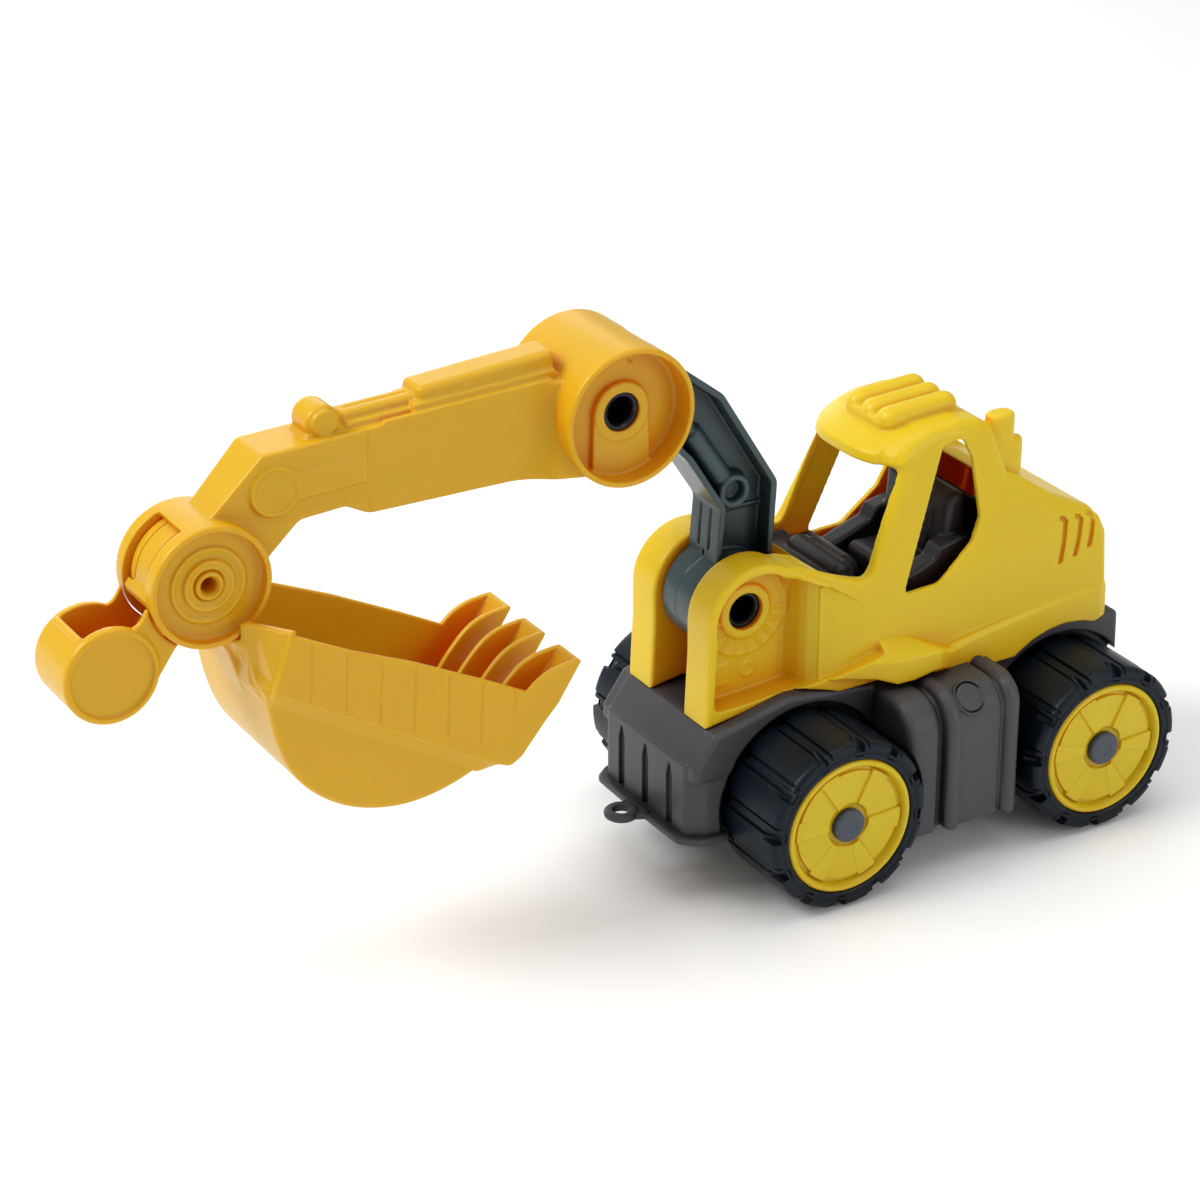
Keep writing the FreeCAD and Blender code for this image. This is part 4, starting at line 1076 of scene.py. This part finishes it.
def make_stick():
    """Bent box beam between two slotted drums with round cups in their faces."""
    beam = slab(
        [(0, 181.0), (-25, 181.4, 20), (-104, 182.3, 6), (-113, 187, 4), (-131, 186, 6),
         (-142, 176, 4), (-152, 166), (-176, 176), (-174, 186), (-162.5, 195, 8),
         (-144.5, 213, 2), (-89.7, 215, 4), (-33.3, 216.6), (0, 218)],
        -STICK_HALF, STICK_HALF, radius=2, soften=0.9,
    )
    slice_up(beam, 1, range(-60, 0, 2))
    slice_up(beam, 2, range(183, 217, 4))
    reshape(beam, stick_spread)
    top_drum = drum(TOP_RADIUS, -TOP_HALF, TOP_HALF, TOP_Y, TOP_Z, 0.9)
    end_drum = drum(END_RADIUS, -END_HALF, END_HALF, END_Y, END_Z, 0.9)
    ridge = [
        slab([(-114, 212), (-111, 219.8, 2), (-80, 220.8), (-76, 212)], -4.4, 4.4, 2, 2.0),
        slab([(-113, 212), (-110, 216.6, 1), (-80, 217.6), (-76, 212)], -6.8, 6.8, 1, 1.2),
        slab([(-84, 212), (-81, 223.6, 2), (-27, 227.0, 1), (-25.4, 212)], -7, 7, 1, 2.2),
        slab([(-86, 211), (-84.4, 218.8, 1), (-27.4, 220.8, 1), (-22, 211)], -8.6, 8.6, 1, 0.9),
    ]
    knuckle = [
        drum(6.8, -6.4, 6.4, -118.6, 217.9, 1.4),
        drum(5.2, -8.2, 8.2, -118.6, 218.4, 1.2),
        slab([(-130, 208), (-125, 215.6, 2), (-112, 217.4, 2), (-106, 208)], -7.2, 7.2, 2, 1.6),
    ]
    straps = both(lambda: slab([(-98, 213.0), (-97, 216.0), (-30, 217.9), (-22, 214)],
                               8.4, STICK_HALF - 0.05, 0.6, 0.5))
    body = join(beam, top_drum, end_drum, *ridge, *knuckle, *straps)
    disc = both(lambda: revolve(
        [(STICK_HALF - 2, 0), (STICK_HALF - 2, 9.8), (STICK_HALF + 0.1, 9.6),
         (STICK_HALF + 0.8, 9.0), (STICK_HALF + 0.8, 8.2), (STICK_HALF + 0.15, 7.8),
         (STICK_HALF + 0.15, 0)],
        (0, -140, 199)))
    rods = both(lambda: slab([(-136, 193.6), (-136, 204.4), (-104, 205.4), (-104, 195)],
                             STICK_HALF - 1, STICK_HALF + 0.35, 1, 0.3))
    body = join(body, *disc, *rods)
    cups = cup(TOP_RADIUS - 2.3, 13.6, TOP_HALF + 2, TOP_Y, TOP_Z)
    cups += cup(END_RADIUS - 2.3, 11.4, END_HALF + 2, END_Y, END_Z)
    parting = both(lambda: slab([(-104.6, 180), (-104.6, 216), (-103.6, 216), (-103.6, 180)],
                                STICK_HALF - 0.6, STICK_HALF + 2, 0.1, 0.05))
    body = carve(body, *cups, *parting)
    groove = slab([(-78, 225.2), (-78, 232), (-30, 232), (-30, 228.2)], -1.2, 1.2, 0.4, 0.3)
    dip = slab([(-108, 219.4), (-108, 226), (-83, 226), (-83, 220.2)], -1.0, 1.0, 0.4, 0.3)
    marks = []
    for sign in (1, -1):
        for along, reach, size in ((-52, 19.5, 1.6), (75, 19, 1.2), (130, 20, 1.4), (-100, 18, 1.4)):
            angle = math.radians(along)
            marks.append(revolve(
                [(sign * 13.0, 0), (sign * 13.0, size), (sign * 16, size), (sign * 16, 0)],
                (0, TOP_Y + reach * math.cos(angle), TOP_Z + reach * math.sin(angle)), sides=24))
    body = carve(body, groove, dip, *marks)
    fittings = both(lambda: revolve(
        [(13, 0), (13, 11.8), (15.7, 11.6), (16.4, 11.0), (16.4, 0)], (0, TOP_Y, TOP_Z)))
    fittings += both(lambda: slab(
        [(TOP_Y - 11.6, TOP_Z), (TOP_Y - 12.4, TOP_Z - 25), (TOP_Y + 12.4, TOP_Z - 25),
         (TOP_Y + 11.6, TOP_Z)], 13, 15.9, 1, 0.6))
    fittings += both(lambda: revolve(
        [(11, 0), (11, 14.4), (12.2, 14.2), (12.5, 13.6), (12.3, 12.8), (11.7, 12.2), (11.7, 10.0),
         (13.0, 9.6), (13.4, 9.0), (13.3, 8.4), (12.6, 7.6), (12.6, 6.2), (11.9, 5.8), (11.9, 0)],
        (0, END_Y, END_Z)))
    body = join(body, *fittings)
    slots = [
        drum(TOP_RADIUS - 3.3, -TOP_SLOT, TOP_SLOT, TOP_Y, TOP_Z, soften=0.05),
        wedge(TOP_Y, TOP_Z, 34, -64, 60, TOP_SLOT),
        drum(END_RADIUS - 2.4, -END_SLOT, END_SLOT, END_Y, END_Z, soften=0.05),
        wedge(END_Y, END_Z, 34, 110, 350, END_SLOT),
        drum(7.5, -30, 30, TOP_Y, TOP_Z, soften=0.05),
        drum(5.2, -30, 30, END_Y, END_Z, soften=0.05),
    ]
    return melt(carve(body, *slots), 0.45, 3, 0.25)


stick = make_stick()
show(stick, "stick_arm", "stick", "arm_yellow", ARM_YELLOW, "stick")

# ------------------------------------------------------------------ bucket and grip

BAND_HALF, SHELL_HALF = 34.0, 30.6
HUB_RADIUS, HUB_HALF, CORE_HALF = 20.1, 9.1, 4.8
TOOTH_PITCH, TOOTH_HALF = 26.0, 8


def cheek_rooms():
    """Room for the stick's lower cups beside the hub."""
    return both(lambda: drum(END_RADIUS + 0.4, END_SLOT - 0.15, END_HALF + 0.8, END_Y, END_Z, soften=0.05))


def band_section(x, under, trim):
    """Side view of the mouth's band at one place across it; its rear corners are cut back."""
    outline = rounded(
        [(-157.2, 156.2, 1), (-156.9, 147), (-154.3, 133.7, 2), (-72, 85, 2), (-61.7, 80.6, 3),
         (-56.8, 83.4, 3), (-41, 102, 1), (-70.4, 117.8, 30), (-99.6, 132.6, 30),
         (-124.6, 143.6, 30), (-145, 154.2, 8)], 2)
    if trim:
        outline = inset(outline, [trim] * len(outline))
    inward = ramp(x, BAND_HALF, -16)
    section = []
    for point in outline:
        y, z = point.x, point.y
        if y < -66 and z < 136.7 - 0.5917 * (y + 154.3):
            z -= 4.6 * under
            y -= 2.0 * under
        rear = -147.2 - 7.4 * ramp(z, 155.4, -21.7)
        rear = rear + (-157.2 - rear) * inward + trim
        section.append((x, max(y, rear), z))
    return section


def make_bucket():
    """Rounded shell with a wider band round its mouth, three hollow teeth and a hub."""
    sweep = through([(-157, 147), (-155.8, 131), (-152.5, 113), (-146.5, 98.5), (-137, 87.6),
                     (-124, 79.4), (-109, 75.3), (-95, 75.2), (-80.5, 78.6), (-66, 85.2)])
    shell = slab([*sweep, (-48, 106), (-147, 156)], -SHELL_HALF, SHELL_HALF, radius=0, soften=2.0)
    half_band = [
        (BAND_HALF, 0, 0.9), (BAND_HALF - 0.3, 0, 0.3), (BAND_HALF - 0.9, 0, 0),
        (BAND_HALF - 2.4, 0.5, 0), (SHELL_HALF - 0.2, 1, 0), (24, 1, 0), (18, 1, 0),
    ]
    sections = [band_section(*place) for place in half_band]
    for section in reversed(sections[:]):
        sections.append([(-x, y, z) for x, y, z in section])
    band = loft(sections)
    shell = join(shell, band)
    inner = slab(
        [*through([(-154.6, 150), (-153.4, 131), (-150.2, 114), (-144.4, 100), (-135.4, 89.6),
                   (-123, 81.8), (-108.8, 77.7), (-95.2, 77.6), (-81.2, 81.0), (-70, 85.4)]),
         (-58, 89.7), (-30, 100), (-30, 132), (-147, 172), (-154.6, 172)],
        -SHELL_HALF + 2.4, SHELL_HALF - 2.4, 0, 0.6,
    )
    mouth = slab(
        [(-154.6, 178), (-154.6, 137.4), (-151, 135), (-74, 88.8), (-60, 86.2), (-57, 87.2),
         (-42.8, 104), (-40, 142), (-147, 178)],
        -BAND_HALF + 2.4, BAND_HALF - 2.4, 1.6, 0.6,
    )
    lines = []
    for k in range(7):
        at_y, top = -139.5 + 13.4 * k, 152.5 - 6.6 * k
        lines += both(lambda: slab(
            [(at_y - 0.6 - 1.5, top - 27), (at_y - 0.6, top + 1), (at_y + 0.6, top + 1),
             (at_y + 0.6 - 1.5, top - 27)], BAND_HALF - 0.5, BAND_HALF + 2, 0.1, 0.05))
    bevels = both(lambda: loft([
        [(18, -157.3, 133), (34.6, -154.7, 133), (40, -154.7, 133), (40, -170, 133), (18, -170, 133)],
        [(18, -157.3, 157), (34.6, -146.6, 157), (40, -146.6, 157), (40, -170, 157), (18, -170, 157)],
    ]))
    shell = carve(shell, inner, mouth, *lines, *bevels)
    corners = both(lambda: loft([
        [(18, -157.2, 132), (33.6, -154.7, 132), (32.2, -151.2, 132), (18, -154.0, 132)],
        [(18, -157.2, 155.8), (33.6, -147.2, 155.8), (31.8, -144.0, 155.8), (18, -154.0, 155.8)],
    ]))
    teeth = []
    for x in (-TOOTH_PITCH, 0.0, TOOTH_PITCH):
        teeth.append(slab([(-58, 84), (-41.4, 101.2), (-31.4, 116.4, 0.6), (-33.4, 116.8, 0.6),
                           (-43.6, 103.8), (-60, 86)], x - TOOTH_HALF, x + TOOTH_HALF, 0.4, 0.5))
        for low_x, high_x in ((x - TOOTH_HALF, x - 5.7), (x + 5.7, x + TOOTH_HALF)):
            teeth.append(slab(
                [(-62, 86), (-41.2, 101.8), (-31.4, 116.4, 0.6),
                 *through([(-35, 116.7), (-43.6, 115.4), (-51, 111.8), (-58.4, 104.4), (-64.6, 96.8),
                           (-73, 89.6)])], low_x, high_x, 0, 0.6))
    back = slab([(-170, 158), (-160, 141), (-154.8, 124), (-149.5, 124), (-150.5, 150), (-158, 160)],
                -HUB_HALF, HUB_HALF, 1, 1.0)
    gussets = both(lambda: loft([
        [(x, -156, 136), (x, -157.2 - reach, 147), (x, -157.2 - reach, 155.6), (x, -154, 155.6),
         (x, -151, 136)]
        for x, reach in ((8.5, 4.6), (14, 2.6), (18.4, 0.1))
    ]))
    hub = drum(HUB_RADIUS, -HUB_HALF, HUB_HALF, END_Y, END_Z, 0.9)
    body = join(shell, *corners, *teeth, back, *gussets, hub)
    core = drum(HUB_RADIUS + 0.3, -CORE_HALF - 0.2, CORE_HALF + 0.2, END_Y, END_Z, soften=0.05)
    bore = drum(5.35, -20, 20, END_Y, END_Z, soften=0.05)
    return melt(carve(body, core, bore, *cheek_rooms()), 0.42, 3, 0.2)


def make_grip():
    """Hollow lever with the grip drum at its end."""
    lever = slab(
        [(-178, 186), (-189.7, 168.4, 10), (-195.1, 159.4, 6), (-206, 164), (-206, 127.5),
         (-191, 135.6, 14), (-180.3, 150.7, 12), (-166, 160)],
        -12.5, 12.5, radius=2, soften=1.0,
    )
    handle = drum(GRIP_RADIUS, -13.7, 13.7, GRIP_Y, GRIP_Z, 1.4)
    body = join(lever, handle)
    channel = slab(
        [(-191, 175), (-197, 174), (-208, 174), (-205.3, 130.4), (-192, 138.8, 12),
         (-184.8, 152.6, 8), (-189, 163.5, 6)],
        -10.1, 10.1, 1.5, 0.6,
    )
    hollow = drum(GRIP_RADIUS - 2.4, -10.1, 10.1, GRIP_Y, GRIP_Z, soften=1.2)
    opening = slab([(GRIP_Y - 5, GRIP_Z), (GRIP_Y - 11.5, GRIP_Z + 20), (GRIP_Y + 30, GRIP_Z + 20),
                    (GRIP_Y + 14, GRIP_Z)], -10.1, 10.1, 0.5, 0.2)
    faces = both(lambda: revolve(
        [(12.3, 0), (12.3, 14.8), (12.6, 15.3), (13.2, 15.6), (15, 15.8), (15, 0)],
        (0, GRIP_Y, GRIP_Z)))
    body = carve(body, channel, hollow, opening, *faces)
    bar = capsule((-9.75, -215.2, 160.0), (9.75, -215.2, 160.0), 1.5)
    lug_rooms = both(lambda: drum(HUB_RADIUS + 0.3, CORE_HALF, 14, END_Y, END_Z, soften=0.05))
    body = carve(join(body, bar), *lug_rooms, *cheek_rooms())
    core = drum(HUB_RADIUS, -CORE_HALF, CORE_HALF, END_Y, END_Z, 0.4)
    bore = drum(5.35, -20, 20, END_Y, END_Z, soften=0.05)
    return melt(carve(join(body, core), bore), 0.45, 3, 0.25)


bucket = make_bucket()
show(bucket, "bucket_scoop", "bucket", "arm_yellow", ARM_YELLOW, "bucket")
grip = make_grip()
show(grip, "bucket_grip", "bucket", "arm_yellow", ARM_YELLOW, "bucket_handle")

# ------------------------------------------------------------------ studio


def paper(name, colour):
    """Matt studio paper with a faint tooth."""
    material, shader, add = blank(name)
    tooth = add("TexNoise", {"Scale": 300})
    tone = add("MapRange", {"To Min": colour - 0.01, "To Max": colour + 0.01},
               {"Value": (tooth, "Fac")})
    wire(shader, {"Roughness": 0.85, "Specular IOR Level": 0.1}, {"Base Color": (tone, "Result")})
    return material


FLOOR_HALF, FLOOR_Z = 6, -0.0004
floor_mesh = bpy.data.meshes.new("floor")
corners = [(x * FLOOR_HALF, y * FLOOR_HALF, FLOOR_Z) for x, y in ((-1, -1), (1, -1), (1, 1), (-1, 1))]
floor_mesh.from_pydata(corners, [], [(0, 1, 2, 3)])
floor = bpy.data.objects.new("floor", floor_mesh)
floor.data.materials.append(paper("floor_paper", 0.92))
scene.collection.objects.link(floor)


def softbox(name, place, aim, size, power):
    """Soft rectangular lamp turned towards a point."""
    light = bpy.data.lights.new(name, "AREA")
    light.shape = "RECTANGLE"
    light.size, light.size_y = size
    light.energy = power
    obj = bpy.data.objects.new(name, light)
    obj.location = place
    obj.rotation_euler = (Vector(aim) - Vector(place)).to_track_quat("-Z", "Y").to_euler()
    scene.collection.objects.link(obj)


softbox("key", (-0.5, -1.5, 1.7), (0, 0, 0.08), (1.2, 1.0), 40)
softbox("top", (0.1, 0.2, 1.9), (0, 0, 0.08), (1.6, 1.6), 12)
softbox("fill", (1.7, 0.8, 0.8), (0, 0, 0.1), (1.2, 1.0), 9)
softbox("rim", (-1.6, 0.3, 0.6), (0, 0, 0.1), (1.2, 1.0), 7)
world = bpy.data.worlds.new("studio")
world.use_nodes = True
world.node_tree.nodes["Background"].inputs["Color"].default_value = (1, 1, 1, 1)
world.node_tree.nodes["Background"].inputs["Strength"].default_value = 0.45
scene.world = world
scene.view_settings.view_transform = "Standard"

CAMERA_TURN = math.radians(59.333)
CAMERA_RISE = math.radians(25.6)
CAMERA_ROLL = math.radians(-0.088)
CAMERA_PLACE = (1.0178, -0.6074, 0.6868)
CAMERA_LENS, SENSOR_WIDTH = 105.2, 36
backward = Vector((
    math.sin(CAMERA_TURN) * math.cos(CAMERA_RISE),
    -math.cos(CAMERA_TURN) * math.cos(CAMERA_RISE),
    math.sin(CAMERA_RISE),
))
rightward = Vector((math.cos(CAMERA_TURN), math.sin(CAMERA_TURN), 0))
upward = backward.cross(rightward)
pose = Matrix((rightward, upward, backward)).transposed().to_4x4()
camera = bpy.data.objects.new("camera", bpy.data.cameras.new("camera"))
camera.data.lens = CAMERA_LENS
camera.data.sensor_width = SENSOR_WIDTH
camera.matrix_world = (
    Matrix.Translation(CAMERA_PLACE) @ pose @ Matrix.Rotation(CAMERA_ROLL, 4, "Z")
)
scene.collection.objects.link(camera)
scene.camera = camera
